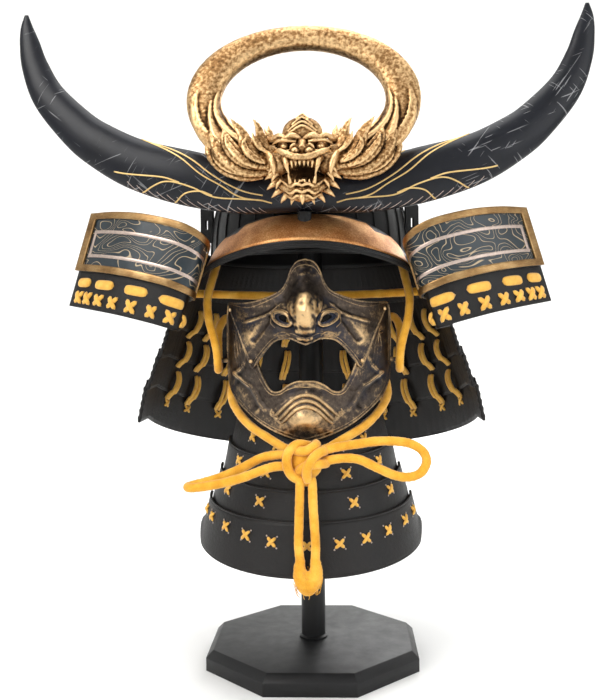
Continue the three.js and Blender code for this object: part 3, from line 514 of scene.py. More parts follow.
def neck_point(k, path, v, inset=0.0):
    """path runs from one front end, -1, round the back to the other, 1; v from the lame's top to its bottom."""
    rows = neck_profile(k)
    i = 0 if v < 0.2 else 1
    f = v / 0.2 if i == 0 else (v - 0.2) / 0.8
    side, back, z_side, z_back = [lerp(p, q, f) for p, q in zip(rows[i], rows[i + 1])]
    turn = 0.8
    angle = min(1, abs(path) / turn) * math.pi / 2
    past = max(0, (abs(path) - turn) / (1 - turn))
    return Vector((
        math.copysign(1, path) * (side - inset) * math.sin(angle),
        BOWL_SETBACK + (back - inset) * math.cos(angle) - past * NECK_FORWARD * NECK_FORWARDS[k],
        lerp(z_back, z_side, 1 - math.cos(angle)),
    ))


TURN_TOP = [
    (0.452, 0.0, 0.8), (0.426, 0.18, 0.83), (0.4, 0.37, 0.87), (0.388, 0.49, 0.925), (0.396, 0.58, 0.99),
    (0.435, 0.635, 1.075), (0.505, 0.64, 1.155), (0.64, 0.56, 1.24), (0.766, 0.4, 1.282), (0.885, 0.19, 1.293),
]
TURN_LOW = [
    (0.572, 0.0, 0.02), (0.537, 0.18, 0.005), (0.506, 0.37, 0.0), (0.494, 0.5, 0.0), (0.506, 0.6, 0.01),
    (0.55, 0.66, 0.045), (0.615, 0.675, 0.097), (0.748, 0.595, 0.184), (0.883, 0.42, 0.253), (1.0, 0.19, 0.305),
]


def turn_edge(rows, s):
    out, fore, up = eased(rows, s)
    foot = neck_edge(2)[2] - 3
    root = BOWL_SETBACK - NECK_FORWARD - CLEAR - 0.2
    return Vector((out * TURN_REACH, root - fore * TURN_HEIGHT, foot + up * TURN_HEIGHT))


def turn_point(s, t, lift=0.0):
    """s runs along the plate from its root, t from the top edge down, and lift stands out of its front."""
    def spot(a):
        return turn_edge(TURN_TOP, a).lerp(turn_edge(TURN_LOW, a), t)

    along = spot(min(1, s + 0.01)) - spot(max(0, s - 0.01))
    down = turn_edge(TURN_LOW, s) - turn_edge(TURN_TOP, s)
    return spot(s) + down.cross(along).normalized() * lift


print("turnback tip at", turn_point(1, 0))

# %% The mask and the throat guard
def mask_relief(x, z):
    sx, sz = x / (MASK_WIDTH / 2), (z - MASK_CHIN) / MASK_HEIGHT
    bridge = bump(sx, 0, 0.13) * (bump(sz, 0.69, 0.2) if sz > 0.69 else bump(sz, 0.69, 0.1))
    wings = 0.42 * (bump(sx, 0.22, 0.1) + bump(sx, -0.22, 0.1)) * bump(sz, 0.68, 0.07)
    chin = bump(sx, 0, 0.34) * bump(sz, 0.15, 0.1)
    brow = -6 * max(0, sz - 0.75) / 0.25
    under = -9 * (max(0, 0.09 - sz) / 0.09) ** 2 * bump(sx, 0, 0.5)
    return NOSE_REACH * min(1, bridge + wings) + CHIN_BOSS * chin + brow + under


def mask_point(x, z, lift=0.0):
    def spot(a, b):
        side = min(0.985, abs(a) / (MASK_WIDTH / 2 + 0.6))
        return Vector((a, MASK_SETBACK - MASK_DEPTH * math.sqrt(1 - side * side) - mask_relief(a, b), b))

    inward = -1 if x > 0 else 1
    along_x = (spot(x + inward * 0.5, z) - spot(x, z)) * inward
    along_z = spot(x, z + 0.5) - spot(x, z - 0.5)
    return spot(x, z) + along_x.cross(along_z).normalized() * lift


JAW_ROWS = [
    (0.0, 0.0, 0.0, 0.342), (0.17, 0.026, 0.1, 0.34), (0.33, 0.056, 0.2, 0.318), (0.47, 0.09, 0.28, 0.287),
    (0.6, 0.13, 0.36, 0.28), (0.73, 0.18, 0.42, 0.302), (0.86, 0.24, 0.48, 0.36), (0.94, 0.31, 0.53, 0.42),
    (0.97, 0.4, 0.585, 0.5), (0.975, 0.49, 0.63, 0.57), (0.975, 0.6, 0.68, 0.64), (0.97, 0.7, 0.74, 0.7),
    (0.95, 0.762, 0.8, 0.755),
]
NOSE_ROWS = [
    (0.0, 1.0, 0.0, 0.548), (0.085, 0.985, 0.075, 0.562), (0.145, 0.94, 0.15, 0.577), (0.18, 0.885, 0.225, 0.577),
    (0.245, 0.838, 0.3, 0.565), (0.345, 0.81, 0.375, 0.539), (0.445, 0.792, 0.45, 0.497),
    (0.545, 0.779, 0.52, 0.451), (0.64, 0.773, 0.588, 0.408), (0.73, 0.771, 0.663, 0.488),
    (0.8, 0.771, 0.735, 0.586), (0.865, 0.773, 0.81, 0.667), (0.9, 0.768, 0.862, 0.728),
]
THROAT_ROWS = [
    (0.62, 0.68, 0.0, -0.24), (0.731, 0.796, 0.174, 0.09), (0.806, 0.852, 0.403, 0.306),
    (0.907, 0.926, 0.612, 0.537), (1.0, 1.0, 1.0, 0.876),
]


def throat_edge(j):
    wide, deep, drop, end_drop = THROAT_ROWS[j]
    return (
        wide * THROAT_WIDTH / 2,
        deep * THROAT_DEPTH,
        THROAT_TOP - drop * THROAT_HEIGHT,
        THROAT_TOP - end_drop * THROAT_HEIGHT,
    )


def throat_point(j, path, v, inset=0.0):
    """path runs from -1 to 1 round the front; v runs from the lame's top edge to the next one's top edge."""
    a, b = throat_edge(j), list(throat_edge(j + 1))
    if j < 3:
        b[0] -= THROAT_WALL + CLEAR + 0.3
        b[1] -= THROAT_WALL + CLEAR + 0.3
    side, front, z_front, z_end = [lerp(p, q, v) for p, q in zip(a, b)]
    angle = path * math.pi / 2
    corner = 11 * smooth(0.84, 1.0, abs(path)) * smooth(0.5, 1.0, v) if j == 3 else 0
    return Vector((
        (side - inset) * math.sin(angle),
        THROAT_SETBACK - (front - inset) * math.cos(angle),
        lerp(z_end, z_front, math.cos(angle)) + corner,
    ))


print("throat guard from", throat_edge(4)[2], "to", throat_edge(0)[2], "mm in front")

# %% [markdown]
# ## The camera
# The photograph was taken from almost straight in front, a little above the middle, with a short telephoto
# lens. The focal length and the place were worked out from the octagon of the stand, whose front edges give
# the vanishing directions. The camera is rolled by half a degree, as the helmet sat a little askew.

# %% Camera
camera_data = bpy.data.cameras.new("camera")
camera_data.lens = 45.32
camera_data.sensor_width = 36
camera_data.shift_x = -0.0106
camera_data.clip_end = 50
camera = bpy.data.objects.new("camera", camera_data)
bpy.context.scene.collection.objects.link(camera)
CAMERA_TURN, CAMERA_DIP, CAMERA_ROLL = math.radians(2.06), math.radians(1.75), math.radians(-0.55)
aim = Matrix.Rotation(CAMERA_TURN, 3, "Z") @ Matrix.Rotation(math.pi / 2 - CAMERA_DIP, 3, "X")
aim = aim @ Matrix.Rotation(CAMERA_ROLL, 3, "Z")
camera.rotation_euler = aim.to_euler()
CAMERA_AWAY, CAMERA_HEIGHT = 0.9, 0.3422
camera.location = (CAMERA_AWAY * math.sin(CAMERA_TURN), -CAMERA_AWAY * math.cos(CAMERA_TURN), CAMERA_HEIGHT)
bpy.context.scene.camera = camera
print("camera at", tuple(round(c, 3) for c in camera.location))

# %% [markdown]
# ## A way to write materials
# A material is a graph of nodes. Drawing the graph in code is clearer when a value that comes out of a node can
# be used in plain arithmetic, so the class below wraps an output, and each operator adds a Math node. One more
# method adds any other node from its type, its settings and its inputs.

# %% A value in the graph
class Wire:
    """A value that comes out of a node."""

    def __init__(self, finish, socket):
        self.finish, self.socket = finish, socket

    def math(self, kind, *values):
        return self.finish.node("ShaderNodeMath", {"operation": kind}, *values)

    def __add__(self, other):
        return self.math("ADD", self, other)

    def __sub__(self, other):
        return self.math("SUBTRACT", self, other)

    def __rsub__(self, other):
        return self.math("SUBTRACT", other, self)

    def __mul__(self, other):
        return self.math("MULTIPLY", self, other)

    __radd__, __rmul__ = __add__, __mul__

    def above(self, edge, soft):
        """0 below the edge and 1 above it, with a soft step."""
        return self.finish.node(
            "ShaderNodeMapRange", {"interpolation_type": "SMOOTHSTEP"}, self, edge - soft, edge + soft
        )


print("values can be added and multiplied")

# %% A finish
class Finish:
    """A material being put together round its Principled shader."""

    def __init__(self, name):
        self.material = bpy.data.materials.new(name)
        self.material.use_nodes = True
        self.tree = self.material.node_tree
        self.surface = self.tree.nodes["Principled BSDF"]
        self.place = self.node("ShaderNodeTexCoord", {}, out="Object")

    def node(self, kind, settings, *values, out=0, **named):
        made = self.tree.nodes.new(kind)
        for key, value in settings.items():
            if key == "stops":
                ramp = made.color_ramp
                while len(ramp.elements) < len(value):
                    ramp.elements.new(0.5)
                for element, (spot, colour) in zip(ramp.elements, value):
                    element.position, element.color = spot, colour
            else:
                setattr(made, key, value)
        for key, value in [*enumerate(values), *named.items()]:
            socket = made.inputs[key]
            if isinstance(value, Wire):
                self.tree.links.new(value.socket, socket)
            else:
                socket.default_value = value
        return Wire(self, made.outputs[out])

    def speckle(self, scale, detail=4.0, rough=0.55, place=None):
        """Fractal noise from 0 to 1, scale in spots a metre."""
        return self.node(
            "ShaderNodeTexNoise", {}, place or self.place, Scale=scale, Detail=detail, Roughness=rough
        )

    def mix(self, factor, a, b):
        """Colour a where factor is 0 and b where it is 1."""
        made = self.tree.nodes.new("ShaderNodeMix")
        made.data_type = "RGBA"
        for key, value in ((0, factor), (6, a), (7, b)):
            if isinstance(value, Wire):
                self.tree.links.new(value.socket, made.inputs[key])
            else:
                made.inputs[key].default_value = value
        return Wire(self, made.outputs[2])

    def relief(self, height, distance, strength=1.0):
        """A bump of that height in metres where the value goes from 0 to 1."""
        bump_node = self.node("ShaderNodeBump", {}, Height=height, Distance=distance, Strength=strength)
        self.tree.links.new(bump_node.socket, self.surface.inputs["Normal"])

    def set(self, **sockets):
        """Constants or links for the shader, with spaces in a socket's name written as underscores."""
        for key, value in sockets.items():
            socket = self.surface.inputs[key.replace("_", " ")]
            if isinstance(value, Wire):
                self.tree.links.new(value.socket, socket)
            else:
                socket.default_value = value
        return self.material


def paint(r, g, b):
    """A colour as it looks on a screen, 0 to 255, in the linear values that nodes use."""
    return tuple((c / 255 / 12.92) if c <= 10 else ((c / 255 + 0.055) / 1.055) ** 2.4 for c in (r, g, b)) + (1.0,)


print("half grey is", round(paint(128, 128, 128)[0], 3), "in linear light")

# %% [markdown]
# ## The cord
# One thick yellow cord holds the helmet and the mask. It comes down from the rim inside, catches the peg on the
# cheek, goes up behind the mask, and runs along the jaw to a bow under the chin. The real cord is a soft braid
# with a nap like felt, so it shines faintly at its edges. Fine noise gives the nap, and the sheen socket the glow.

# %% The cord's finish
felt = Finish("yellow_cord")
braid = felt.node("ShaderNodeTexCoord", {}, out="UV")
lay = felt.node("ShaderNodeMapping", {}, braid, Scale=(3.0, 34.0, 1.0))
ply = felt.node("ShaderNodeTexVoronoi", {"feature": "F1"}, lay, Scale=1.0, Randomness=0.35)
nap = felt.speckle(1900, 3.0)
patchy = felt.speckle(70, 2.0)
tone = patchy * 0.55 + nap * 0.45
cord_colour = felt.node(
    "ShaderNodeValToRGB",
    {"stops": [(0.3, paint(196, 132, 30)), (0.5, paint(226, 164, 52)), (0.68, paint(243, 190, 84))]},
    tone,
)
felt.relief(nap * 0.7 + ply * 0.5, 0.0005, 0.6)
CORD_FINISH = felt.set(
    Base_Color=cord_colour, Roughness=0.92, Sheen_Weight=0.35, Sheen_Roughness=0.45, Specular_IOR_Level=0.2
)
print("cord finish:", CORD_FINISH.name)

# %% [markdown]
# The routes are lists of points that a hand would guide the cord through, the same that the plain solids
# follow. A smooth path is passed through them and a round bar is laid along it. The cord is squeezed a little
# here and there, as a soft cord is, and each run that shows is declared with its real length.

# %% The cord's runs
CHIN_RUN = [
    (90.3, -38, 403.9), (90.9, -39, 397.5), (93, -50, 385), (96, -62, 366), (94, -68, 346), (89, -70, 328),
    (86.5, -69.5, 315), (86, -67.8, 304), (86.5, -60.5, 298.4), (87, -53.2, 304), (88, -49, 320), (88, -40, 338),
    (82, -28, 348), (73, -24, 341), (68, -28, 322), (69, -36, 300), (74.5, -47, 283), (74, -62, 271.5),
    (65, -83, 259.5), (51, -103, 248.5), (33, -120, 239.5), (21, -129.5, 233.6), (13.4, -134.6, 231.4),
]
RIGHT_LOOP = [
    (14.4, -145, 233), (17.4, -145, 233.2), (28, -147, 236), (43, -149, 238.5), (60, -150, 241), (76, -150, 241),
    (90, -149, 238.5), (100, -149, 232), (103, -149, 223), (98, -150, 214), (88, -151, 210.5), (76, -151, 212),
    (62, -151, 218), (46, -151, 225.5), (32, -149, 226.5), (17.4, -146.5, 224), (14.4, -146, 223),
]
LEFT_LOOP = [
    (-13.7, -143.2, 229), (-16.7, -143.2, 229), (-28, -143.5, 228.5), (-40, -142, 225.5), (-55, -140.5, 217.5),
    (-72, -139.5, 210), (-88, -140, 205), (-98, -142.5, 202.8), (-102, -148, 202), (-98, -154, 202.3),
    (-88, -155.5, 203.5), (-72, -154.5, 206.2), (-55, -153, 210.5), (-38, -151.5, 216.5), (-27, -149.5, 219.5),
    (-16.7, -148, 219.6), (-13.7, -147.6, 219.4),
]
RIGHT_END = [(4.6, -151, 210), (5.6, -152, 204.2), (6, -154.5, 190), (7, -156, 172), (8, -157, 154), (7.5, -157.5, 137)]
LEFT_END = [
    (-4.2, -151, 210), (-5, -152, 204.2), (-5.4, -154.5, 190), (-6, -156, 172), (-6.4, -157, 154), (-5, -157.5, 137),
]
BROW_RUN = [
    (-114.4, -40, 372), (-100, -42, 371.5), (-60, -52, 369.5), (0, -58, 368), (60, -52, 369.5),
    (100, -42, 371.5), (114.4, -40, 372),
]


def cord_run(name, points, node, seed):
    """One run of cord, squeezed a little here and there: its object, its middle line and its length in metres."""
    path = through([Vector(p) for p in points])
    steps = 10 * (len(points) - 1)
    dice = random.Random(seed)
    wobble = [dice.uniform(-0.16, 0.16) for _ in range(steps + 1)]
    bm = tube(path, lambda t: CORD / 2 + wobble[round(t * steps)], 12, steps)
    obj = piece(bm, name, CORD_FINISH, "cord", [node])
    line = [path(i / steps) * MM for i in range(steps + 1)]
    length = sum((b - a).length for a, b in zip(line, line[1:]))
    return obj, line, length


CORDS = {}
for name, points, node, far_end, word in [
    ("cord_chin_right", CHIN_RUN, "chin_cord_right", "knot", "taut"),
    ("cord_chin_left", [(-x, y, z) for x, y, z in CHIN_RUN], "chin_cord_left", "knot", "taut"),
    ("cord_bow_right", RIGHT_LOOP, "bow_loop_right", "knot", "hanging"),
    ("cord_bow_left", LEFT_LOOP, "bow_loop_left", "knot", "hanging"),
    ("cord_tail_right", RIGHT_END, "cord_end_right", "knot", "hanging"),
    ("cord_tail_left", LEFT_END, "cord_end_left", "knot", "hanging"),
    ("cord_behind_mask", BROW_RUN, "brow_cord", "object", "taut"),
]:
    obj, line, length = cord_run(name, points, node, len(CORDS) + 3)
    CORDS[name] = length
    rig.cord(
        obj, exit=line[0], length=length, diameter=CORD * MM, far_end=far_end, stiffness="limp", lay=word, path=line
    )
print({name: round(length, 3) for name, length in CORDS.items()}, "metres")

# %% [markdown]
# The knot under the chin is that of a bow: one strand goes round the other and holds the two loops. It is four
# short bars that cross each other in front of a soft core.

# %% The knot
KNOT_RUNS = [
    [(3, -139, 236), (-7, -146, 238), (-14.5, -151, 232), (-16, -152.5, 222), (-12, -151.5, 212.5), (-3, -150, 207.5),
     (4, -147, 206)],
    [(-9, -145, 211), (-4, -151.5, 217.5), (3, -155, 221.5), (11, -154.6, 222.5), (16.5, -148, 222), (16.8, -141, 221)],
    [(15.5, -141, 231), (14.5, -149.5, 232.5), (9, -154.8, 230), (4, -157.8, 224), (1, -156.8, 216), (2, -152, 208)],
    [(-12, -140, 233), (-7, -147.5, 232.6), (0, -151.5, 233.2), (7, -150, 236.5), (9, -143, 238)],
]
knot_parts = [tube(through([Vector(p) for p in run]), 4.3, 12, 40) for run in KNOT_RUNS]
core = bmesh.new()
bmesh.ops.create_icosphere(core, subdivisions=3, radius=1.0)
bmesh.ops.scale(core, vec=(14.5, 8.5, 14.5), verts=core.verts)
bmesh.ops.translate(core, vec=(0, -143.5, 221.5), verts=core.verts)
piece(gather(core, *knot_parts), "cord_bow_knot", CORD_FINISH, "cord", ["cord_knot"])
print("knot made of", len(KNOT_RUNS), "strands")

# %% [markdown]
# ## The floor and the light
# A plain white dish serves as the floor: flat under the stand and rising far away, so that no edge of it shows
# from any side. The light is a studio's: a large soft one high at the left, a wide fill at the right, one
# straight above, and a weak one from behind that draws the edges of the horns. A last one is turned away from the
# helmet, to the far side of the dish, and keeps the background white.

# %% Floor
paper = Finish("studio_paper")
paper_tone = paper.mix(paper.speckle(3.0, 2.0), paint(244, 244, 243), paint(250, 250, 249))
PAPER = paper.set(Base_Color=paper_tone, Roughness=0.9, Specular_IOR_Level=0.1)
dish = bmesh.new()
bmesh.ops.create_circle(dish, cap_ends=True, segments=96, radius=2.0)
edge = dish.edges[:]
for grow, up in [(1.25, 0.05), (1.2, 0.22), (1.14, 0.5), (1.07, 0.9), (1.03, 1.6), (1.0, 2.0)]:
    made = bmesh.ops.extrude_edge_only(dish, edges=edge)["geom"]
    ring = [v for v in made if isinstance(v, bmesh.types.BMVert)]
    bmesh.ops.scale(dish, vec=(grow, grow, 1), verts=ring)
    bmesh.ops.translate(dish, vec=(0, 0, up), verts=ring)
    edge = [e for e in made if isinstance(e, bmesh.types.BMEdge)]
floor_mesh = bpy.data.meshes.new("studio_floor")
dish.to_mesh(floor_mesh)
dish.free()
floor_mesh.shade_smooth()
floor_mesh.materials.append(PAPER)
studio_floor = bpy.data.objects.new("studio_floor", floor_mesh)
bpy.context.scene.collection.objects.link(studio_floor)
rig.stage(studio_floor)
print("floor of radius 2 m")


# %% Lights
def softbox(name, place, aim_at, size, watts, tint=(1, 1, 1)):
    lamp = bpy.data.lights.new(name, "AREA")
    lamp.shape, lamp.size, lamp.size_y = "RECTANGLE", size[0], size[1]
    lamp.energy, lamp.color = watts, tint
    obj = bpy.data.objects.new(name, lamp)
    bpy.context.scene.collection.objects.link(obj)
    obj.location = place
    obj.rotation_euler = (Vector(aim_at) - Vector(place)).to_track_quat("-Z", "Y").to_euler()


softbox("light_key", (-1.1, -1.5, 1.5), (0, 0, 0.32), (1.1, 1.1), 27, (1.0, 0.985, 0.96))
softbox("light_fill", (1.5, -1.3, 0.9), (0, 0, 0.3), (1.4, 1.4), 11, (0.96, 0.98, 1.0))
softbox("light_top", (0.1, -0.1, 1.9), (0, 0, 0.3), (1.5, 1.2), 24)
softbox("light_back", (0.6, 1.5, 1.2), (0, 0, 0.4), (1.2, 0.8), 18)
softbox("light_wall", (0, 1.1, 0.9), (0, 3.0, 1.3), (1.6, 0.8), 40)
world = bpy.data.worlds.new("studio")
bpy.context.scene.world = world
world.use_nodes = True
bpy.context.scene.view_settings.view_transform = "Standard"
world.node_tree.nodes["Background"].inputs[0].default_value = (1, 1, 1, 1)
world.node_tree.nodes["Background"].inputs[1].default_value = 0.4
print("lights placed")

# %% [markdown]
# ## The metals
# The crest is old gilding: bright where hands and cloth have rubbed it, brown in the hollows. The pieces keep
# how proud each point stands in the attribute rub, and a ramp turns that, with some noise, into the colour and
# the roughness. The same recipe with other colours gives the mask's dark iron with its bare bronze edges.

# %% Worn metal
def worn_metal(name, hollow, mid, ridge, rough, grain, grain_scale, spread, sharp=0.0, cool=None):
    """Three colours from hollow to ridge; spread is the noise's share in what decides between them."""
    finish = Finish(name)
    rub = finish.node("ShaderNodeAttribute", {"attribute_name": "rub"}, out="Fac")
    cloud = finish.speckle(38, 5.0, 0.6)
    grit = finish.speckle(grain_scale, 4.0, 0.7)
    wear = rub * (1.0 - spread) + cloud * spread * 0.5 + grit * spread * 0.5
    colour = finish.node(
        "ShaderNodeValToRGB", {"stops": [(0.34, hollow), (0.5 - sharp, mid), (0.66 - sharp, ridge)]}, wear
    )
    if cool is not None:
        cold = finish.speckle(21, 3.0).above(0.55, 0.08) * (1.0 - wear.above(0.54, 0.08)) * 0.8
        colour = finish.mix(cold, colour, cool)
    finish.relief(grit * 0.7 + cloud * 0.6, grain, 0.8)
    return finish.set(
        Base_Color=colour, Metallic=1.0, Roughness=grit * 0.3 + (rough - 0.15) + (1.0 - wear) * 0.25
    )


GILT = worn_metal(
    "antique_gold", paint(44, 29, 17), paint(138, 102, 64), paint(224, 188, 138), 0.34, 0.0002, 520, 0.6
)
COPPER = worn_metal(
    "speckled_copper", paint(80, 48, 26), paint(184, 126, 76), paint(232, 188, 132), 0.36, 0.00025, 760, 0.9
)
MASK_IRON = worn_metal(
    "mask_iron", paint(17, 16, 17), paint(84, 74, 66), paint(214, 180, 132), 0.32, 0.00035, 420, 0.58, sharp=-0.035,
    cool=paint(50, 54, 66),
)
print("worn metals:", GILT.name, COPPER.name, MASK_IRON.name)

# %% [markdown]
# The dark pieces are the bowl's iron, the lacquered lames, the horns and the stand. None of them is one flat
# black: a fine noise and a cloudy one choose between two dark tones, and the same noise roughens the surface.

# %% Black iron, stand and lames
def dark_coat(name, dark, light, rough, scale, height=0.00008, metal=0.0):
    finish = Finish(name)
    streak = finish.speckle(scale, 5.0, 0.65)
    cloud = finish.speckle(24, 4.0)
    tone = finish.node("ShaderNodeValToRGB", {"stops": [(0.35, dark), (0.72, light)]}, streak * 0.5 + cloud * 0.5)
    finish.relief(streak, height, 0.8)
    return finish.set(
        Base_Color=tone, Roughness=streak * 0.25 + cloud * 0.2 + (rough - 0.2), Metallic=metal,
        Specular_IOR_Level=0.35,
    )


IRON = dark_coat("bowl_black_iron", paint(8, 8, 9), paint(24, 23, 23), 0.45, 300, metal=0.3)
STAND = dark_coat("stand_satin_black", paint(10, 10, 11), paint(20, 20, 22), 0.45, 90, height=0.00003)
LAME = dark_coat("lame_black_lacquer", paint(4, 3, 4), paint(24, 20, 18), 0.48, 330, height=0.0004)
print("dark coats:", IRON.name, STAND.name, LAME.name)

# %% [markdown]
# The horns carry fine pale scratches that cross at odd angles. A noise that is squeezed in one direction and
# stretched in the others gives short streaks, so three of them are laid at three angles. They are let through
# only in patches, where the horns have been knocked.

# %% Horn
horn = Finish("horn_black")
scratches = 0.0
for turn in ((0.3, 0.95, 0.2), (0.2, -0.7, 0.4), (-0.2, 0.35, 0.1)):
    turned_place = horn.node("ShaderNodeMapping", {}, horn.place, Rotation=turn)
    pulled = horn.node("ShaderNodeMapping", {}, turned_place, Scale=(34, 34, 700))
    scratches = horn.speckle(1.0, 1.0, 0.5, pulled).above(0.705, 0.012) + scratches
worn = scratches * horn.speckle(16, 2.0).above(0.5, 0.05)
skin = horn.speckle(230, 5.0, 0.65)
horn_tone = horn.mix(skin * 0.5 + horn.speckle(24, 4.0) * 0.5, paint(2, 2, 4), paint(22, 25, 34))
horn.relief(skin - worn * 0.6, 0.00012, 0.8)
HORN = horn.set(
    Base_Color=horn.mix(worn * 0.6, horn_tone, paint(150, 150, 152)), Roughness=skin * 0.25 + 0.24, Coat_Weight=0.08,
    Coat_Roughness=0.25, Specular_IOR_Level=0.24,
)
print("horn finish:", HORN.name)

# %% [markdown]
# The turnbacks' border is brushed brass, so its scratches all run level: the noise is squeezed along the height.
# The silver and gold lines are worn leaf, two close colours mixed by a fine noise. The lacing is a flat braid,
# dull and a little fuzzy, which a high roughness and some sheen give.

# %% Brushed brass, silver line and lacing
brushed = Finish("brushed_brass")
lines = brushed.node("ShaderNodeMapping", {}, brushed.place, Scale=(60, 60, 900))
scratch = brushed.speckle(4.0, 4.0, 0.7, lines)
warm = brushed.speckle(60, 4.0)
brass_tone = brushed.node(
    "ShaderNodeValToRGB",
    {"stops": [(0.3, paint(88, 64, 40)), (0.5, paint(150, 118, 78)), (0.7, paint(200, 170, 122))]},
    scratch * 0.5 + warm * 0.5,
)
brushed.relief(scratch, 0.00006, 0.6)
BRASS = brushed.set(Base_Color=brass_tone, Metallic=1.0, Roughness=scratch * 0.3 + 0.25)

gold_line = Finish("gold_inlay")
GOLD_LINE = gold_line.set(
    Base_Color=gold_line.mix(gold_line.speckle(300), paint(196, 156, 92), paint(240, 212, 150)), Metallic=0.7,
    Roughness=gold_line.speckle(900) * 0.3 + 0.3,
)
silver = Finish("silver_line")
SILVER = silver.set(
    Base_Color=silver.mix(silver.speckle(400), paint(150, 132, 124), paint(214, 196, 184)), Metallic=0.9,
    Roughness=silver.speckle(900) * 0.3 + 0.25,
)

lacing = Finish("yellow_lacing")
thread = lacing.speckle(1600, 3.0)
lace_tone = lacing.mix(lacing.speckle(220, 3.0), paint(200, 138, 40), paint(246, 198, 92))
lacing.relief(thread, 0.0003, 0.6)
LACE = lacing.set(Base_Color=lace_tone, Roughness=0.9, Sheen_Weight=0.3, Sheen_Roughness=0.5)
print("brass, silver and lacing made")

# %% [markdown]
# The turnback's panel is dark teal lacquer with fine pale lines. The lines are where a smooth noise crosses one
# of several heights, as the contour lines of a map do, so they flow like water and never end in the open.

# %% Contour lines on teal
teal = Finish("teal_panel")
flow = teal.node("ShaderNodeMapping", {}, teal.place, Scale=(26, 26, 40))
height = teal.node("ShaderNodeTexNoise", {}, flow, Scale=1.0, Detail=1.0, Roughness=0.4, Distortion=0.6)
waves = teal.node("ShaderNodeMath", {"operation": "PINGPONG"}, height * 16.0, 0.5)
line = 1.0 - waves.above(0.055, 0.03)
ground = teal.mix(teal.speckle(50, 4.0), paint(8, 17, 23), paint(22, 41, 50))
teal_tone = teal.mix(line * 0.75, ground, paint(196, 172, 136))
teal.relief(line, 0.00015, 0.7)
TEAL = teal.set(Base_Color=teal_tone, Roughness=0.38 - line * 0.08, Coat_Weight=0.2, Coat_Roughness=0.2)
print("teal panel made")

# %% [markdown]
# ## The stand
# An octagonal foot of blackened wood with a wide chamfer, a round post and, inside the bowl, a plain head that
# carries the helmet. The foot and post are turned and planed, so their edges are softly broken.

# %% Stand
foot = bmesh.new()
bmesh.ops.create_cone(
    foot, cap_ends=True, segments=8, radius1=PLINTH_WIDTH / 2 / math.cos(math.pi / 8),
    radius2=PLINTH_WIDTH / 2 / math.cos(math.pi / 8), depth=PLINTH_HEIGHT,
    matrix=Matrix.Translation((0, 0, PLINTH_HEIGHT / 2)) @ Matrix.Rotation(math.pi / 8, 4, "Z"),
)
rim_edges = [e for e in foot.edges if all(v.co.z > PLINTH_HEIGHT - 0.01 for v in e.verts)]
bmesh.ops.bevel(foot, geom=rim_edges, offset=PLINTH_CHAMFER, affect="EDGES", segments=1, profile=0.5, material=-1)
bmesh.ops.bevel(foot, geom=foot.edges[:], offset=0.7, affect="EDGES", segments=2, profile=0.5, material=-1)
piece(foot, "stand_foot", STAND, "stand", ["stand_plinth"], crease=35)
print("stand foot", PLINTH_WIDTH, "mm across")

# %% Post
def turned(profile, sides=48):
    """A closed body turned from (radius, height) points that start and end on the axis."""
    bm = bmesh.new()
    chain = [bm.verts.new((r, 0, z)) for r, z in profile]
    wires = [bm.edges.new(pair) for pair in zip(chain, chain[1:])]
    bmesh.ops.spin(
        bm, geom=chain + wires, cent=(0, 0, 0), axis=(0, 0, 1), angle=math.tau, steps=sides, use_merge=True
    )
    bmesh.ops.remove_doubles(bm, verts=bm.verts, dist=0.002)
    bmesh.ops.recalc_face_normals(bm, faces=bm.faces)
    return bm


POST_TOP = RIM + BOWL_HEIGHT - 3 - 3 * CLEAR
post = turned([
    (0, PLINTH_HEIGHT + CLEAR), (POST / 2 + 2.2, PLINTH_HEIGHT + CLEAR), (POST / 2 + 2.2, PLINTH_HEIGHT + 1.6),
    (POST / 2, PLINTH_HEIGHT + 3), (POST / 2, POST_TOP - 32), (POST / 2 + 5, POST_TOP - 27), (23, POST_TOP - 23.2),
    (38, POST_TOP - 18.6), (41.4, POST_TOP - 16.6), (41.4, POST_TOP - 15), (37, POST_TOP - 11), (26, POST_TOP - 7.6),
    (12.6, POST_TOP - 3.2), (0, POST_TOP),
])
piece(post, "stand_turned_post", STAND, "stand", ["stand_post"], crease=40)
print("post top at", round(POST_TOP, 1), "mm")

# %% [markdown]
# ## The bowl
# The bowl is hidden in front by the crest. It is the usual ribbed kind: many narrow iron plates, each turned up
# along one edge into a rib, all riveted together and closed by a ring on top. The ribs are bars laid on a smooth
# dome. This part can't be seen in the photograph, so the ribs are the plain common form.

# %% Bowl
RIBS = 32
dome = sheet(128, 28, lambda u, v: bowl_point(u * math.tau, v))
bmesh.ops.remove_doubles(dome, verts=dome.verts, dist=0.002)
piece(dome, "bowl_dome", IRON, "black_iron", ["bowl"], facing=(0, 0, 1), wall=3.0)
ribs = []
for i in range(RIBS):
    a = (i + 0.5) / RIBS * math.tau

    def rib(t, a=a):
        share = lerp(0.045, 0.985, t)
        return bowl_point(a, share, 0.35)

    ribs.append(tube(rib, 1.0, 6, 22))
band = tube(lambda t: bowl_point(t * math.tau, 0.022, 0.4), 1.5, 8, 128, fill=False)
crown = turned([(0, 521), (15, 521), (17, 524.0), (14.5, 526.6), (9, 527.2), (8, 529.6), (4, 530.4), (0, 530.6)], 40)
bmesh.ops.translate(crown, vec=(0, BOWL_SETBACK, 0), verts=crown.verts)
piece(gather(*ribs, band, crown), "bowl_ribs", IRON, "black_iron", crease=50)
print("bowl with", RIBS, "ribs")

# %% [markdown]
# ## The visor
# The visor is a sloping plate below the crest, with a fat ribbed roll along its edge. Its front is speckled
# copper, cut along the top in steps like the edge of a cloud. The plate is a grid between the bowl's curve and
# the visor's own edge; the copper is the same grid cut off at the steps and laid on top.

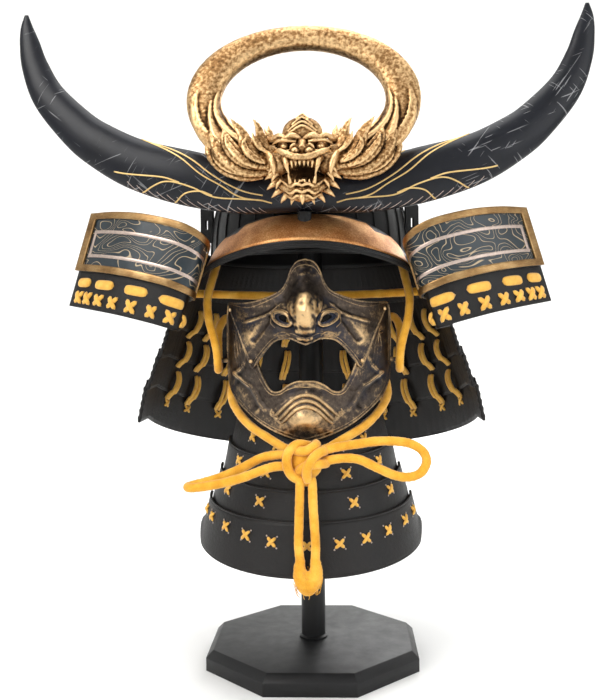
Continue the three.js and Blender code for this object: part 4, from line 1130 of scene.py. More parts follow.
# %% Visor
black_plate = sheet(96, 14, lambda u, v: visor_point(u, lerp(0, 1.02, v)))
piece(black_plate, "visor_plate", IRON, "copper", ["visor"], facing=(0, 0, 1), wall=2.2)
CLOUD_STEPS = [
    (0.0, 0.98), (0.06, 0.93), (0.1, 0.1), (0.13, 0.05), (0.2, 0.36), (0.235, 0.42), (0.27, 0.14), (0.3, 0.19),
    (0.39, 0.12), (0.5, 0.07),
]


def cloud_edge(u):
    side = min(u, 1 - u)
    for (a, low), (b, high) in zip(CLOUD_STEPS, CLOUD_STEPS[1:]):
        if side <= b:
            return lerp(low, high, smooth(a, b, side))
    return 0.0


copper_skin = sheet(240, 12, lambda u, v: visor_point(u, lerp(cloud_edge(u), 0.985, v), 0.7))
visor_copper = piece(copper_skin, "visor_copper", COPPER, "copper", facing=(0, -1, 1), wall=0.9)
rub_marks(visor_copper)


def bead_path(t, angle=0.0, away=0.0):
    """The middle of the roll, or a line on it: angle 0 looks straight out and a quarter turn looks up."""
    turn = lerp(-VISOR_TURN, VISOR_TURN, t)
    edge = visor_edge(turn)
    along = (visor_edge(turn + 0.01) - visor_edge(turn - 0.01)).normalized()
    slope = edge - visor_joint(turn)
    out = (slope - along * slope.dot(along)).normalized()
    up = along.cross(out)
    up = up if up.z > 0 else -up
    middle = edge + out * (VISOR_BEAD / 2 + CLEAR + 0.75) - Vector((0, 0, VISOR_WALL / 2))
    return middle + (out * math.cos(angle) + up * math.sin(angle)) * away


roll_bars = [tube(bead_path, VISOR_BEAD / 2 - 0.45, 16, 120)]
for degrees in (-100, -50, 0, 50, 100):
    roll_bars.append(tube(lambda t, a=math.radians(degrees): bead_path(t, a, VISOR_BEAD / 2 - 0.85), 0.85, 8, 120))
piece(gather(*roll_bars), "visor_rolled_edge", IRON, "black_iron", ["visor_bead"])
print("visor", VISOR_SPAN, "mm wide")

# %% [markdown]
# ## The horns
# Each horn is a long blade of lacquered wood with an oval section that thins to a point. One grid is rolled
# round the horn's own line and closed. The gold lines on it are thin inlays; here each is a fine bar sunk to
# half its depth, along a path given as a place along the horn and a turn round it.

# %% Horns
horn_skin = closed_tube(sheet(40, 120, lambda u, v: horn_point(v, u * math.tau)))
both_sides(horn_skin, "horn_blade", HORN, "horn", ["horn"])
print("horns reach", HORN_REACH, "mm to each side")

# %% [markdown]
# ## The turnbacks
# At each end of the neck guard the first lame is folded back into a flaring plate. A brass border frames a
# panel, and below the panel runs a black strip with cross stitches.

# %% Turnback plates
def turn_sheet(s0, t0, t1, lift):
    """The turnback from s0 out to its tip, and from t0 down to t1."""
    return sheet(60, 16, lambda u, v: turn_point(lerp(s0, 1, u), lerp(t0, t1, v), lift))


both_sides(
    turn_sheet(0, 0, TURN_SHARE, 0), "turnback_teal", TEAL, "panel", ["turnback_panel"], facing=(-0.2, -1, 0.3),
    wall=2.6,
)
both_sides(
    turn_sheet(0.03, TURN_SHARE - 0.09, 1, -TURN_WALL - CLEAR), "turnback_black_strip", LAME, "lame",
    ["turnback_strip"], facing=(-0.2, -1, 0.3), wall=2.6,
)
print("turnbacks made")

# %% [markdown]
# The border is one brass bar that runs round the panel's four sides. A sheet is rolled up once more: one way it
# goes round the frame, and the other way round a section with eight corners, whose top edges are broken.

# %% Brass border
BORDER_WIDTH, PANEL_LENGTH = 6.0, 190.0


def border_point(u, v):
    """u runs round the frame, v round its cross section from the outer foot over the top to the inner foot."""
    s0, wide_t, wide_s = 0.25, BORDER_WIDTH / TURN_HEIGHT, BORDER_WIDTH / PANEL_LENGTH
    outer = [(s0, 0.0), (1.0, 0.0), (1.0, TURN_SHARE), (s0, TURN_SHARE)]
    near, far, low = s0 + wide_s, 1 - wide_s, TURN_SHARE - wide_t
    inner = [(near, wide_t), (far, wide_t), (far, low), (near, low)]
    stops = [0.0, 0.42, 0.5, 0.92, 1.0]
    u = u % 1.0
    i = max(k for k in range(4) if stops[k] <= u + 1e-9)
    f = (u - stops[i]) / (stops[i + 1] - stops[i])
    a = [lerp(p, q, f) for p, q in zip(outer[i], outer[(i + 1) % 4])]
    b = [lerp(p, q, f) for p, q in zip(inner[i], inner[(i + 1) % 4])]
    section = [(0.0, 0.0), (0.0, 0.75), (0.08, 0.95), (0.22, 1.0), (0.78, 1.0), (0.92, 0.95), (1.0, 0.75), (1.0, 0.0)]
    across, up = section[int(v % 1.0 * 8) % 8]
    s, t = lerp(a[0], b[0], across), lerp(a[1], b[1], across)
    return turn_point(s, t, 0.2 + 1.85 * up)


frame_bar = sheet(200, 8, lambda u, v: border_point(u, round(v * 8) / 8))
closed_tube(frame_bar, fill=False)
both_sides(frame_bar, "turnback_brass", BRASS, "gold", ["turnback_border"], crease=50)
print("brass border made")

# %% [markdown]
# ## The neck guard
# Five curved lames hang one below the other from the bowl's rim, each tucked behind the one above. They are made
# of scales under thick lacquer, which leaves a gently ribbed surface and a knobbly lower edge.

# %% Neck lames
for k in range(5):
    def lame(u, v, k=k):
        path = lerp(-1, 1, u)
        p = neck_point(k, path, v)
        ripple = 0.12 * math.sin(path * 190) * smooth(0.2, 0.4, v)
        out = Vector((p.x, p.y - BOWL_SETBACK, 0)).normalized()
        return p + out * ripple

    bm = sheet(300, 12, lame)
    piece(bm, f"neck_guard_lame_{k + 1}", LAME, "lame", [f"neck_lame_{k + 1}"], facing=(0, 1, 0), wall=NECK_WALL - 0.2)
print("neck guard made")

# %% [markdown]
# ## The throat guard
# Four lames hang under the mask, each wider than the one above. The foot of each is tucked behind the top of the
# next, so the sheet bends at its knee and goes on down inside for a few millimetres.

# %% Throat lames
for j in range(4):
    def lame(u, v, j=j):
        path = lerp(-1, 1, u)
        if j == 3 or v < 0.8:
            return throat_point(j, path, v if j == 3 else v / 0.8)
        knee, ahead = throat_point(j, path, 1.0), throat_point(j + 1, path, 0.3) - throat_point(j + 1, path, 0.0)
        drop = ahead / max(1.0, -ahead.z)
        return knee + drop * THROAT_LAP * (v - 0.8) / 0.2

    bm = sheet(140, 12, lame)
    name, node = f"throat_guard_lame_{j + 1}", f"throat_lame_{j + 1}"
    piece(bm, name, LAME, "lame", [node], facing=(0, -1, 0), wall=THROAT_WALL - 0.2)
print("throat guard made")

# %% [markdown]
# ## Inlays and lacing
# What covers this armour is small and repeated: gold lines let into the horns, a silver line on the turnbacks,
# and flat yellow lacing that goes in and out of holes. All of it is laid on a surface, so one helper makes a
# small map around a spot: so many millimetres along, so many down, so many off the surface.

# %% Laying things on a surface
def patch(surface, a, b, flip=1):
    """A map at(x, y, lift) in millimetres round the point (a, b) of a surface."""
    def pace(da, db):
        step = surface(a + da, b + db) - surface(a - da, b - db)
        return max(1e-6, step.length / (2 * (da + db)))

    span_a, span_b = pace(0.01, 0), pace(0, 0.01)
    here, ahead, below = surface(a, b), surface(a + 0.01, b), surface(a, b + 0.01)
    out = (ahead - here).cross(below - here).normalized() * flip

    def at(x, y, lift):
        return surface(a + x / span_a, b + y / span_b) + out * lift

    return at


def stitch(at, start, end, wide, high, sides=10, steps=10, hump=0.0):
    """A flat soft bar from start to end on a patch, with round ends that dive into the surface."""
    run = Vector((end[0] - start[0], end[1] - start[1]))
    across = Vector((-run.y, run.x)).normalized()

    def place(u, v):
        angle = u * math.tau
        full = max(0.0, 1 - abs(2 * v - 1) ** 4.5) ** 0.45
        side = wide / 2 * full * math.cos(angle)
        lift = high * full * (0.3 + 0.7 * math.sin(angle)) + hump * math.sin(math.pi * v) ** 2
        return at(lerp(start[0], end[0], v) + across.x * side, lerp(start[1], end[1], v) + across.y * side, lift)

    return closed_tube(sheet(sides, steps, place), fill=False)


def cross_stitch(at, half_x, half_y, wide, high, dice):
    """Two stitches over each other, never quite alike."""
    a, b = half_x * dice.uniform(0.9, 1.05), half_y * dice.uniform(0.92, 1.05)
    lean = dice.uniform(-0.6, 0.6)
    return gather(
        stitch(at, (-a + lean, -b), (a, b), wide, high, 8, 8),
        stitch(at, (a, -b), (-a + lean, b), wide, high, 8, 8, hump=high * 0.7),
    )


print("lacing tools ready")

# %% [markdown]
# The horn's inlays run from the crest outward and follow its curve. Along the lower edge stand short paler
# strokes, like the barbs of a feather.

# %% Gold lines in the horns
HORN_LINES = [
    [(0.36, -0.25), (0.318, -0.45), (0.27, -0.86), (0.225, -1.35), (0.172, -1.715), (0.11, -1.9)],
    [(0.375, -0.1), (0.297, -0.82), (0.25, -1.356), (0.212, -1.638), (0.17, -1.987), (0.11, -2.12)],
    [(0.251, -0.2), (0.232, -0.5), (0.215, -0.81), (0.177, -1.084), (0.13, -1.3)],
    [(0.226, -0.25), (0.205, -0.6), (0.18, -0.86), (0.15, -1.05)],
    [(0.338, -2.85), (0.322, -2.243), (0.299, -1.9), (0.258, -1.91), (0.219, -2.129), (0.17, -2.07), (0.12, -2.094),
     (0.085, -2.25)],
    [(0.282, -2.9), (0.268, -2.24), (0.243, -2.0), (0.222, -2.08)],
    [(0.395, -2.3), (0.35, -1.98), (0.31, -1.8), (0.28, -1.84)],
]
inlays = [
    tube(lambda t, rows=rows: horn_point(*eased(rows, t), -0.1), 0.75, 6, 12 * len(rows)) for rows in HORN_LINES
]
strokes = []
for i in range(15):
    spot = 0.1 + i * 0.0175
    strokes.append(tube(lambda t, spot=spot: horn_point(spot + 0.022 * t, lerp(-2.92, -2.48, t), -0.12), 0.3, 5, 6))
both_sides(gather(*inlays), "horn_gold_inlay", GOLD_LINE, "gold", [])
both_sides(gather(*strokes), "horn_pale_strokes", SILVER, "", [])
print("inlays:", len(HORN_LINES), "lines and", len(strokes), "strokes a side")

# %% [markdown]
# A flat silver line frames the turnback's pattern on three sides. It is a low bar with a square section, and its
# section is turned at each step so that it lies flat on the flaring panel.

# %% Silver line on the turnbacks
def rail(surface, start, end, wide, high):
    """A low bar with a square section from start to end, given in the surface's own two values."""
    def place(u, v):
        at = patch(surface, lerp(start[0], end[0], v), lerp(start[1], end[1], v), -1)
        side, up = [(-1, 0), (-1, 0.8), (-0.8, 1), (0.8, 1), (1, 0.8), (1, 0)][min(5, int(u * 6 + 1e-6)) % 6]
        if abs(end[1] - start[1]) > 1e-6:
            return at(side * wide / 2, 0, up * high)
        return at(0, side * wide / 2, up * high)

    return closed_tube(sheet(6, 50, place))


def panel_face(s, t):
    return turn_point(s, t, 0.0)


rails = [
    rail(panel_face, (0.3, 0.205), (0.958, 0.205), 3.0, 0.75),
    rail(panel_face, (0.3, 0.455), (0.958, 0.455), 3.0, 0.75),
    rail(panel_face, (0.953, 0.19), (0.953, 0.47), 3.0, 0.7),
]
both_sides(gather(*rails), "turnback_silver_line", SILVER, "", [], crease=50)
print("silver lines laid")

# %% [markdown]
# Four broad dashes and a row of crosses lace the strip under each turnback. The dashes are the same flat
# lacing, so they are only wider stitches.

# %% Lacing of the turnbacks
def strip_face(s, t):
    return turn_point(s, t, -TURN_WALL - CLEAR)


dice = random.Random(5)
laces = []
for s, t, half in [(0.545, 0.742, 13), (0.745, 0.735, 12.5), (0.862, 0.735, 11.5), (0.952, 0.735, 9)]:
    laces.append(stitch(patch(strip_face, s, t, -1), (-half, -0.4), (half, 0.6), 9.2, 3.0, 12, 14))
for s in (0.33, 0.545, 0.675, 0.75, 0.815, 0.87, 0.918, 0.962):
    at = patch(strip_face, s, 0.893, -1)
    laces.append(cross_stitch(at, 5.2, 6.0, 4.9, 2.4, dice))
both_sides(gather(*laces), "turnback_lacing", LACE, "cord", [])
print("turnback lacing:", len(laces), "stitches a side")

# %% [markdown]
# Inside the neck guard the lames hang on double loops of lacing at eleven stations. Outside, the same lacing
# shows as crosses in rows. The lowest lame carries crosses on both faces.

# %% Lacing of the neck guard
STATIONS = [-0.67, -0.54, -0.39, -0.26, -0.13, 0.0, 0.13, 0.26, 0.39, 0.54, 0.67]
loops = []
for k in range(1, 4):
    for station in STATIONS:
        for twin in (-0.0065, 0.0065):
            lean = 0.008 * math.copysign(1, station)

            def loop(t, k=k, station=station, twin=twin, lean=lean):
                path = station + twin * (1 + 0.5 * math.sin(math.pi * t)) - lean * math.cos(math.pi * t)
                belly = NECK_WALL + 1.0 + 5.0 * math.sin(math.pi * t) ** 0.8
                above = neck_point(k, path, lerp(0.48, 1.0, min(1, t / 0.75)), belly)
                if t <= 0.75:
                    return above
                rest = (t - 0.75) / 0.25
                return above.lerp(neck_point(k + 1, path, lerp(0.2, 0.36, rest), belly), rest)

            loops.append(tube(loop, 2.1, 8, 12))
crosses = []
for k in range(5):
    for station in [-0.92, -0.8, *STATIONS, 0.8, 0.92]:
        at = patch(lambda a, b, k=k: neck_point(k, a, b), station, 0.42 if k < 4 else 0.45, 1)
        crosses.append(cross_stitch(at, 4.4, 4.4, 3.1, 1.7, dice))
for station in STATIONS:
    at = patch(lambda a, b: neck_point(4, a, b, NECK_WALL), station, 0.45, -1)
    crosses.append(cross_stitch(at, 5.2, 4.4, 3.4, 1.8, dice))
piece(gather(*loops), "neck_guard_inner_lacing", LACE, "cord")
piece(gather(*crosses), "neck_guard_cross_stitches", LACE, "cord")
print("neck guard:", len(loops), "strands and", len(crosses), "crosses")

# %% [markdown]
# The throat guard has one row of crosses on each lame. Each cross goes through four punched holes, and a small
# silver ring at the end of every arm is a painted highlight on the hole's edge.

# %% Lacing of the throat guard
def painted_hole_highlight(at, x, y):
    """A small silver ring at (x, y) on a patch, a painted highlight on the edge of a punched hole."""
    def place(u, v):
        wide = 0.85 * math.sin(math.pi * v)
        return at(x + wide * math.cos(u * math.tau), y + wide * math.sin(u * math.tau), 0.35 * math.cos(math.pi * v))

    return closed_tube(sheet(8, 4, place), fill=False)


THROAT_SPOTS = {
    0: [(-0.5, 0.5), (-0.245, 0.6), (0.245, 0.6), (0.5, 0.56)],
    1: [(-0.575, 0.35), (-0.3, 0.5), (0.28, 0.53), (0.585, 0.37)],
    2: [(-0.62, 0.39), (-0.31, 0.44), (0.3, 0.48), (0.624, 0.385)],
    3: [(-0.86, 0.25), (-0.715, 0.26), (-0.531, 0.29), (-0.363, 0.335), (-0.198, 0.38), (0.0, 0.42), (0.18, 0.405),
        (0.339, 0.375), (0.5, 0.343), (0.68, 0.3), (0.84, 0.27)],
}
ties, painted_hole_highlights = [], []
for j, spots in THROAT_SPOTS.items():
    for path, v in spots:
        at = patch(lambda a, b, j=j: throat_point(j, a, b), path, v, -1)
        ties.append(cross_stitch(at, 4.4, 4.3, 3.2, 1.8, dice))
        for x, y in ((-5.0, -4.9), (5.0, -4.9), (-5.0, 4.9), (5.0, 4.9)):
            painted_hole_highlights.append(painted_hole_highlight(at, x, y))
piece(gather(*ties), "throat_guard_cross_stitches", LACE, "cord")
# The rings round the holes are painted highlights, in silver.
piece(gather(*painted_hole_highlights), "throat_guard_punched_holes", SILVER, "")
print("throat guard:", len(ties), "crosses")

# %% [markdown]
# Every lame has a thicker lip along its edge, where the lacquer gathers. On the neck guard's front ends the lip
# is knobbly, because the ends of the single scales show there.

# %% Lips of the lames
def knobs(k):
    """The half width of the lip at the front of lame k."""
    return lambda t: 1.5 + 0.75 * math.sin(t * 15 + k) ** 2


lips = []
for k in range(5):
    lips.append(tube(lambda t, k=k: neck_point(k, lerp(-1, 1, t), 0.01, 0.9), 1.25, 6, 180))
    lips.append(tube(lambda t, k=k: neck_point(k, lerp(-1, 1, t), 0.99, 1.2), 1.3, 6, 180))
    for end in (-1, 1):
        def front(t, k=k, end=end):
            return neck_point(k, end * 0.998, lerp(0.16, 1.0, t), 1.2)

        lips.append(tube(front, knobs(k), 8, 30))
piece(gather(*lips), "neck_guard_lips", LAME, "lame")
rims = [tube(lambda t, j=j: throat_point(j, lerp(-1, 1, t), 0.012, 0.8), 1.25, 6, 120) for j in range(4)]
rims.append(tube(lambda t: throat_point(3, lerp(-1, 1, t), 0.988, 1.1), 1.35, 6, 120))
for end in (-1, 1):
    for j in range(4):
        rims.append(tube(lambda t, j=j, end=end: throat_point(j, end * 0.998, lerp(0.0, 0.96, t), 1.1), 1.3, 6, 16))
piece(gather(*rims), "throat_guard_lips", LAME, "lame")
print("lips:", len(lips) + len(rims))

# %% [markdown]
# The side lugs are flat iron plates with an upright slot for a tie. Cutting the slot is easy on a grid: the
# faces inside it are taken out, and the wall closes round the gap.

# %% Side lugs
def lug_spot(u, v):
    x, z = (u - 0.5) * 15, (v - 0.5) * 36
    inner = (clamp(x, -5.0, 5.0), clamp(z, -15.5, 15.5))
    dx, dz = x - inner[0], z - inner[1]
    reach = math.hypot(dx, dz)
    if reach > 1e-6:
        shrink = max(abs(dx), abs(dz)) / reach
        dx, dz = dx * shrink, dz * shrink
    return Vector((inner[0] + dx, -1.45, inner[1] + dz))


lug_bm = sheet(30, 72, lug_spot)
slot_faces = []
for face in lug_bm.faces:
    spot = face.calc_center_median()
    if abs(spot.x) < 1.5 and abs(spot.z) < 4.5:
        slot_faces.append(face)
bmesh.ops.delete(lug_bm, geom=slot_faces, context="FACES")
LUG_PLACE = Matrix.Translation((BOWL_WIDTH / 2 + 1.8, BOWL_SETBACK - 23, RIM + 36))
LUG_TURN = Matrix.Rotation(math.radians(28), 4, "Z")
bmesh.ops.transform(lug_bm, matrix=LUG_PLACE @ LUG_TURN, verts=lug_bm.verts)
both_sides(lug_bm, "side_lug_plate", IRON, "black_iron", ["side_lug"], facing=(0.3, -1, 0), wall=2.9, crease=40)
print("lugs with a slot of", len(slot_faces), "cells")

# %% [markdown]
# ## The mask
# The half mask is two plates of hammered iron: a jaw that runs from cheek to cheek, and a nose plate riveted
# over it. The plates start as grids on the mask's curve. Swellings and hollows are added to the curve before
# the grid is laid on it, and the raised lines that a smith would chase from behind are fine bars laid along
# the surface, so they stay crisp.

# %% How far the mask swells, in millimetres
def near_line(x, z, points, width):
    """1 on the line and 0 beyond the width."""
    best = width
    for (ax, az), (bx, bz) in zip(points, points[1:]):
        dx, dz = bx - ax, bz - az
        f = clamp(((x - ax) * dx + (z - az) * dz) / (dx * dx + dz * dz))
        best = min(best, math.hypot(x - ax - f * dx, z - az - f * dz))
    return 0.5 + 0.5 * math.cos(math.pi * best / width)


NOSTRIL, NOSTRIL_TILT = Vector((18.0, 346.3)), math.radians(24)
CHEEK_FOLD = [(19, 359), (27, 353), (37, 348.5), (48, 345), (57, 343)]
CHEEK_HOLLOW = [(31, 347), (38, 338), (45, 328)]
JAW_FOLD = [(68, 296), (60, 290), (51, 285.5), (46.5, 280), (43, 272), (38, 266), (31, 263)]
REAR_FOLD = [(57.5, 319), (55.5, 312), (58, 305), (63, 299.5), (68, 296.5)]


def nostril_reach(x, z):
    """1 on the nostril's edge, less inside, for the side that x is on."""
    dx, dz = abs(x) - NOSTRIL.x, z - NOSTRIL.y
    c, s = math.cos(NOSTRIL_TILT), math.sin(NOSTRIL_TILT)
    u, w = dx * c + dz * s, dz * c - dx * s
    return math.hypot(u / 6.8, w / (3.2 + 0.06 * u))


def nose_swell(x, z, side, v):
    ax = abs(x)
    reach = nostril_reach(x, z)
    rise = 1.9 * math.exp(-(((reach - 1.25) / 0.3) ** 2)) * (1 if reach > 0.6 else 0)
    rise += 1.3 * near_line(ax, z, CHEEK_FOLD, 3.0) * smooth(19, 30, ax) * smooth(57, 46, ax)
    rise -= 1.7 * near_line(ax, z, CHEEK_HOLLOW, 4.5)
    rise += 1.7 * bump(ax, 50, 8) * bump(z, 331, 10) - 1.6 * bump(ax, 42, 13) * bump(z, 354, 5)
    rise += 1.2 * bump(ax, 20, 9) * bump(z, 333, 4) - 1.4 * bump(ax, 9.5, 3) * bump(z, 341, 6)
    wide = 4.8 + 2.8 * smooth(328, 345, z) + 5.6 * smooth(346, 355, z)
    bar = smooth(wide + 2.4, wide - 1.4, ax) * smooth(322, 326, z) * smooth(370, 358, z)
    rise += bar * (0.8 + 0.45 * math.sin((z - 322) * 0.95) * smooth(346, 336, z))
    rise += bar * 0.5 * noise.noise(Vector((x * 0.45, z * 0.3, 5)))
    on_tip = smooth(16, 8, ax) * smooth(340, 352, z) * smooth(372, 364, z)
    rise += 1.1 * noise.noise(Vector((ax * 0.16, z * 0.13, 7))) * on_tip
    rise += 1.0 * bump(ax, 0, 10) * bump(z, 356, 7) * (1 + 0.5 * math.sin(x * 1.3))
    return MASK_WALL + CLEAR + 0.1 + rise + 0.22 * noise.noise(Vector((x * 0.22, z * 0.22, 3)))


def jaw_swell(x, z, side, v):
    ax = abs(x)
    rise = 2.6 * bump(ax, 0, 14) * bump(z, 257, 8.5)
    rise -= 1.5 * bump(ax, 0, 30) * near_line(ax, z, [(0, 285), (16, 280), (30, 271)], 5)
    rise += 1.0 * near_line(ax, z, JAW_FOLD, 4.0) + 0.6 * near_line(ax, z, REAR_FOLD, 3.6)
    rise -= 1.4 * near_line(ax, z, [(64, 288), (54, 279), (47, 268)], 6)
    rise += 1.6 * bump(ax, 46, 7) * bump(z, 296, 13)
    rise -= 0.9 * math.sin(clamp(v) * math.pi) * bump(z, 330, 18) * smooth(60, 66, ax)
    return rise * smooth(0.0, 0.06, v) + 0.22 * noise.noise(Vector((x * 0.2, z * 0.2, 9)))


print("swelling at the chin:", round(jaw_swell(0, 257, 0, 0.3), 2), "mm")

# %% [markdown]
# The edges of each plate are kept as tables, a row for each place from the middle to the cheek. Wear follows the
# ridges by itself, and a few listed spots are rubbed brighter: the bridge of the nose, the cheeks and the chin.

# %% Plates, polish and painted shade
def plate_spot(rows, side, v):
    """(x, z) on a plate: side runs from -1 to 1, and v from the first edge in its table to the second."""
    x0, z0, x1, z1 = eased(rows, abs(side))
    return math.copysign(1, side) * lerp(x0, x1, v) * MASK_WIDTH / 2, MASK_CHIN + lerp(z0, z1, v) * MASK_HEIGHT


def mask_sheet(rows, along, swell):
    def place(u, v):
        side = 2 * u - 1
        x, z = plate_spot(rows, side, v)
        return mask_point(x, z, swell(x, z, side, v))

    return sheet(264, along, place)


def polish_and_shade(obj, spots, front=-1000):
    """Brightens an object round spots of (x, z, half width, half height, amount) as rubbed wear, and darkens it where
    the amount is negative, which is painted shade on the dragon's recesses and the top of the nose; only points behind
    the depth front change.
    """
    mesh = obj.data
    places, rub = np.empty(len(mesh.vertices) * 3), np.empty(len(mesh.vertices))
    mesh.vertices.foreach_get("co", places)
    layer = mesh.attributes["rub"].data
    layer.foreach_get("value", rub)
    x, z = np.abs(places[0::3]) / MM, places[2::3] / MM
    deep = np.clip((places[1::3] / MM - front) / 3, 0, 1)
    for at_x, at_z, wide, high, amount in spots:
        rub += deep * amount * np.exp(-(((x - at_x) / wide) ** 2) - ((z - at_z) / high) ** 2)
    layer.foreach_set("value", np.clip(rub, 0, 1).astype(np.float32))


print("plates can be laid and polished")

# %% The two plates
jaw_bm = mask_sheet(JAW_ROWS, 80, jaw_swell)
jaw = piece(jaw_bm, "mask_jaw_plate", MASK_IRON, "bronze", ["mask_jaw"], facing=(0, -1, 0), wall=MASK_WALL)
rub_marks(jaw, 5, 0.3)
polish_and_shade(jaw, [
    (0, 258, 16, 8, 0.2), (0, 272, 24, 5, 0.08), (30, 262, 8, 8, 0.08), (66, 318, 7, 12, 0.08), (50, 276, 8, 10, -0.05),
])
nose_bm = mask_sheet(NOSE_ROWS, 88, nose_swell)
holes = []
for face in nose_bm.faces:
    c = face.calc_center_median()
    if nostril_reach(c.x, c.z) < 0.92 and 335 < c.z < 358:
        holes.append(face)
bmesh.ops.delete(nose_bm, geom=holes, context="FACES")
nose = piece(nose_bm, "mask_nose_plate", MASK_IRON, "bronze", ["mask_nose"], facing=(0, -1, 0), wall=MASK_WALL)
rub_marks(nose, 5, 0.3)
# The darkened spot at the top of the nose, (0, 373), is painted shade where the visor above shades the plate.
polish_and_shade(nose, [
    (0, 356, 15, 7, 0.3), (13, 354, 8, 4, 0.24), (1, 341, 7, 10, 0.12), (0, 373, 10, 7, -0.25), (60, 350, 7, 7, 0.2),
    (50, 331, 8, 11, 0.18), (40, 362, 16, 5, -0.08), (25, 331, 8, 3, 0.14),
])
print("plates made;", len(holes), "faces taken out for the nostrils")

# %% [markdown]
# The chased lines: a bead round every edge of both plates, a second line inside it, three wavy ridges over the
# chin, arcs behind the cheeks, and the folds of the cheek. Each is a path on the surface for one side, and the
# other side is its mirror image. Those that cross the middle are made whole.

# %% Paths on the plates
def edge_line(rows, v, swell, lift):
    """A line from one end of a plate to the other, at v between its two edges."""
    def path(t):
        side = 2 * t - 1
        x, z = plate_spot(rows, side, v)
        return mask_point(x, z, swell(x, z, side, v) + lift)

    return path


def side_line(points, swell, lift):
    """A line through (x, z) points on one side."""
    flat = through([Vector((x, 0, z)) for x, z in points])

    def path(t):
        p = flat(t)
        return mask_point(p.x, p.z, swell(p.x, p.z, 0.5, 0.5) + lift)

    return path


def swollen(thick):
    """The half width of a bar that starts and ends thin."""
    return lambda t: 0.1 + thick * math.sin(math.pi * clamp(t + 0.08)) ** 0.5


print("paths can be laid on the plates")

# %% Chased lines
EDGE_BEADS = [
    (JAW_ROWS, jaw_swell, [(0.012, 0.0, 0.8, 8), (0.988, 0.05, 0.95, 8), (0.9, -0.1, 0.5, 6), (0.075, -0.1, 0.42, 6)]),
    (NOSE_ROWS, nose_swell, [
        (0.008, 0.0, 0.75, 8), (0.988, 0.05, 0.95, 8), (0.075, -0.1, 0.45, 6), (0.91, -0.1, 0.42, 6),
    ]),
]
whole_lines = []
for rows, swell, beads in EDGE_BEADS:
    for v, lift, thick, sides in beads:
        whole_lines.append(tube(edge_line(rows, v, swell, lift), thick, sides, 200))
CHIN_RIDGES = [
    [(30.5, 266.5), (31, 262.2), (27.5, 260.6), (22.6, 265), (15.6, 271.6), (8.4, 276.8), (0, 278.9)],
    [(28.6, 264), (28.2, 260), (25, 257.2), (21, 259.8), (15, 266), (8.2, 271.6), (0, 273.9)],
    [(25.8, 261), (25.2, 257.6), (22.4, 254.8), (18.6, 257), (13.8, 261.6), (7.8, 266.6), (0, 268.8)],
]


def ridge_girth(t):
    return 1.7 * (0.35 + 0.65 * smooth(0, 0.12, t) * smooth(1, 0.88, t))


for ridge in CHIN_RIDGES:
    points = ridge + [(-x, z) for x, z in reversed(ridge[:-1])]
    whole_lines.append(tube(side_line(points, jaw_swell, 0.35), ridge_girth, 10, 120))


def nostril_rim(t):
    a = t * math.tau
    u, w = 7.0 * math.cos(a), (3.4 + 0.42 * math.cos(a)) * math.sin(a)
    c, s = math.cos(NOSTRIL_TILT), math.sin(NOSTRIL_TILT)
    x, z = NOSTRIL.x + u * c - w * s, NOSTRIL.y + w * c + u * s
    return mask_point(x, z, nose_swell(x, z, 0.5, 0.5) - 0.2)


half_lines = [
    tube(nostril_rim, 0.95, 8, 56, fill=False),
    tube(side_line(CHEEK_FOLD, nose_swell, -0.1), lambda t: 0.1 + 0.55 * math.sin(math.pi * t) ** 0.6, 8, 40),
    tube(side_line([(13, 350), (22, 353.6), (28.5, 350), (29.5, 343.5), (25, 339)], nose_swell, -0.1), 0.5, 8, 40),
    tube(side_line([(12, 333), (17, 336.4), (22, 335), (26, 331.5)], nose_swell, 0.1), 0.6, 6, 30),
    tube(side_line([(13, 329), (17.5, 332), (22, 330.6)], nose_swell, 0.1), 0.55, 6, 30),
    tube(side_line(JAW_FOLD, jaw_swell, -0.15), swollen(0.36), 8, 50),
    tube(side_line(REAR_FOLD, jaw_swell, -0.1), swollen(0.3), 8, 30),
]
for k in range(3):
    out = 3.2 * k
    arc = [
        (70.5 - 0.2 * out, 333 + out), (66 + out * 0.1, 331 + out * 0.5), (62.5 + out, 322), (60.5 + out, 311),
        (57 + out, 302),
    ]
    half_lines.append(tube(side_line(arc, jaw_swell, 0.0), 0.5, 6, 40))
halves = gather(*half_lines)
lines = piece(gather(*whole_lines, mirrored(halves), halves), "mask_chased_lines", MASK_IRON, "bronze")
layer = lines.data.attributes.new("rub", "FLOAT", "POINT")
layer.data.foreach_set("value", np.full(len(lines.data.vertices), 0.7, dtype=np.float32))
polish_and_shade(lines, [(0, 272, 34, 12, 0.25), (18, 350, 8, 5, 0.15), (62, 298, 10, 14, -0.25), (48, 278, 9, 12, -0.2)])
print("chased lines:", len(lines.data.polygons), "faces")

# %% [markdown]
# Four rivets hold the nose plate to the jaw, and a round peg stands on each cheek for the cord to catch. They
# are turned on their own axis and then set along the surface's normal.

# %% Rivets and pegs
def set_on_mask(bm, x, z, lift):
    foot = mask_point(x, z, lift)
    normal = (mask_point(x, z, lift + 1) - foot).normalized()
    turn = Vector((0, 0, 1)).rotation_difference(normal).to_matrix().to_4x4()
    bmesh.ops.transform(bm, matrix=Matrix.Translation(foot) @ turn, verts=bm.verts)
    return bm


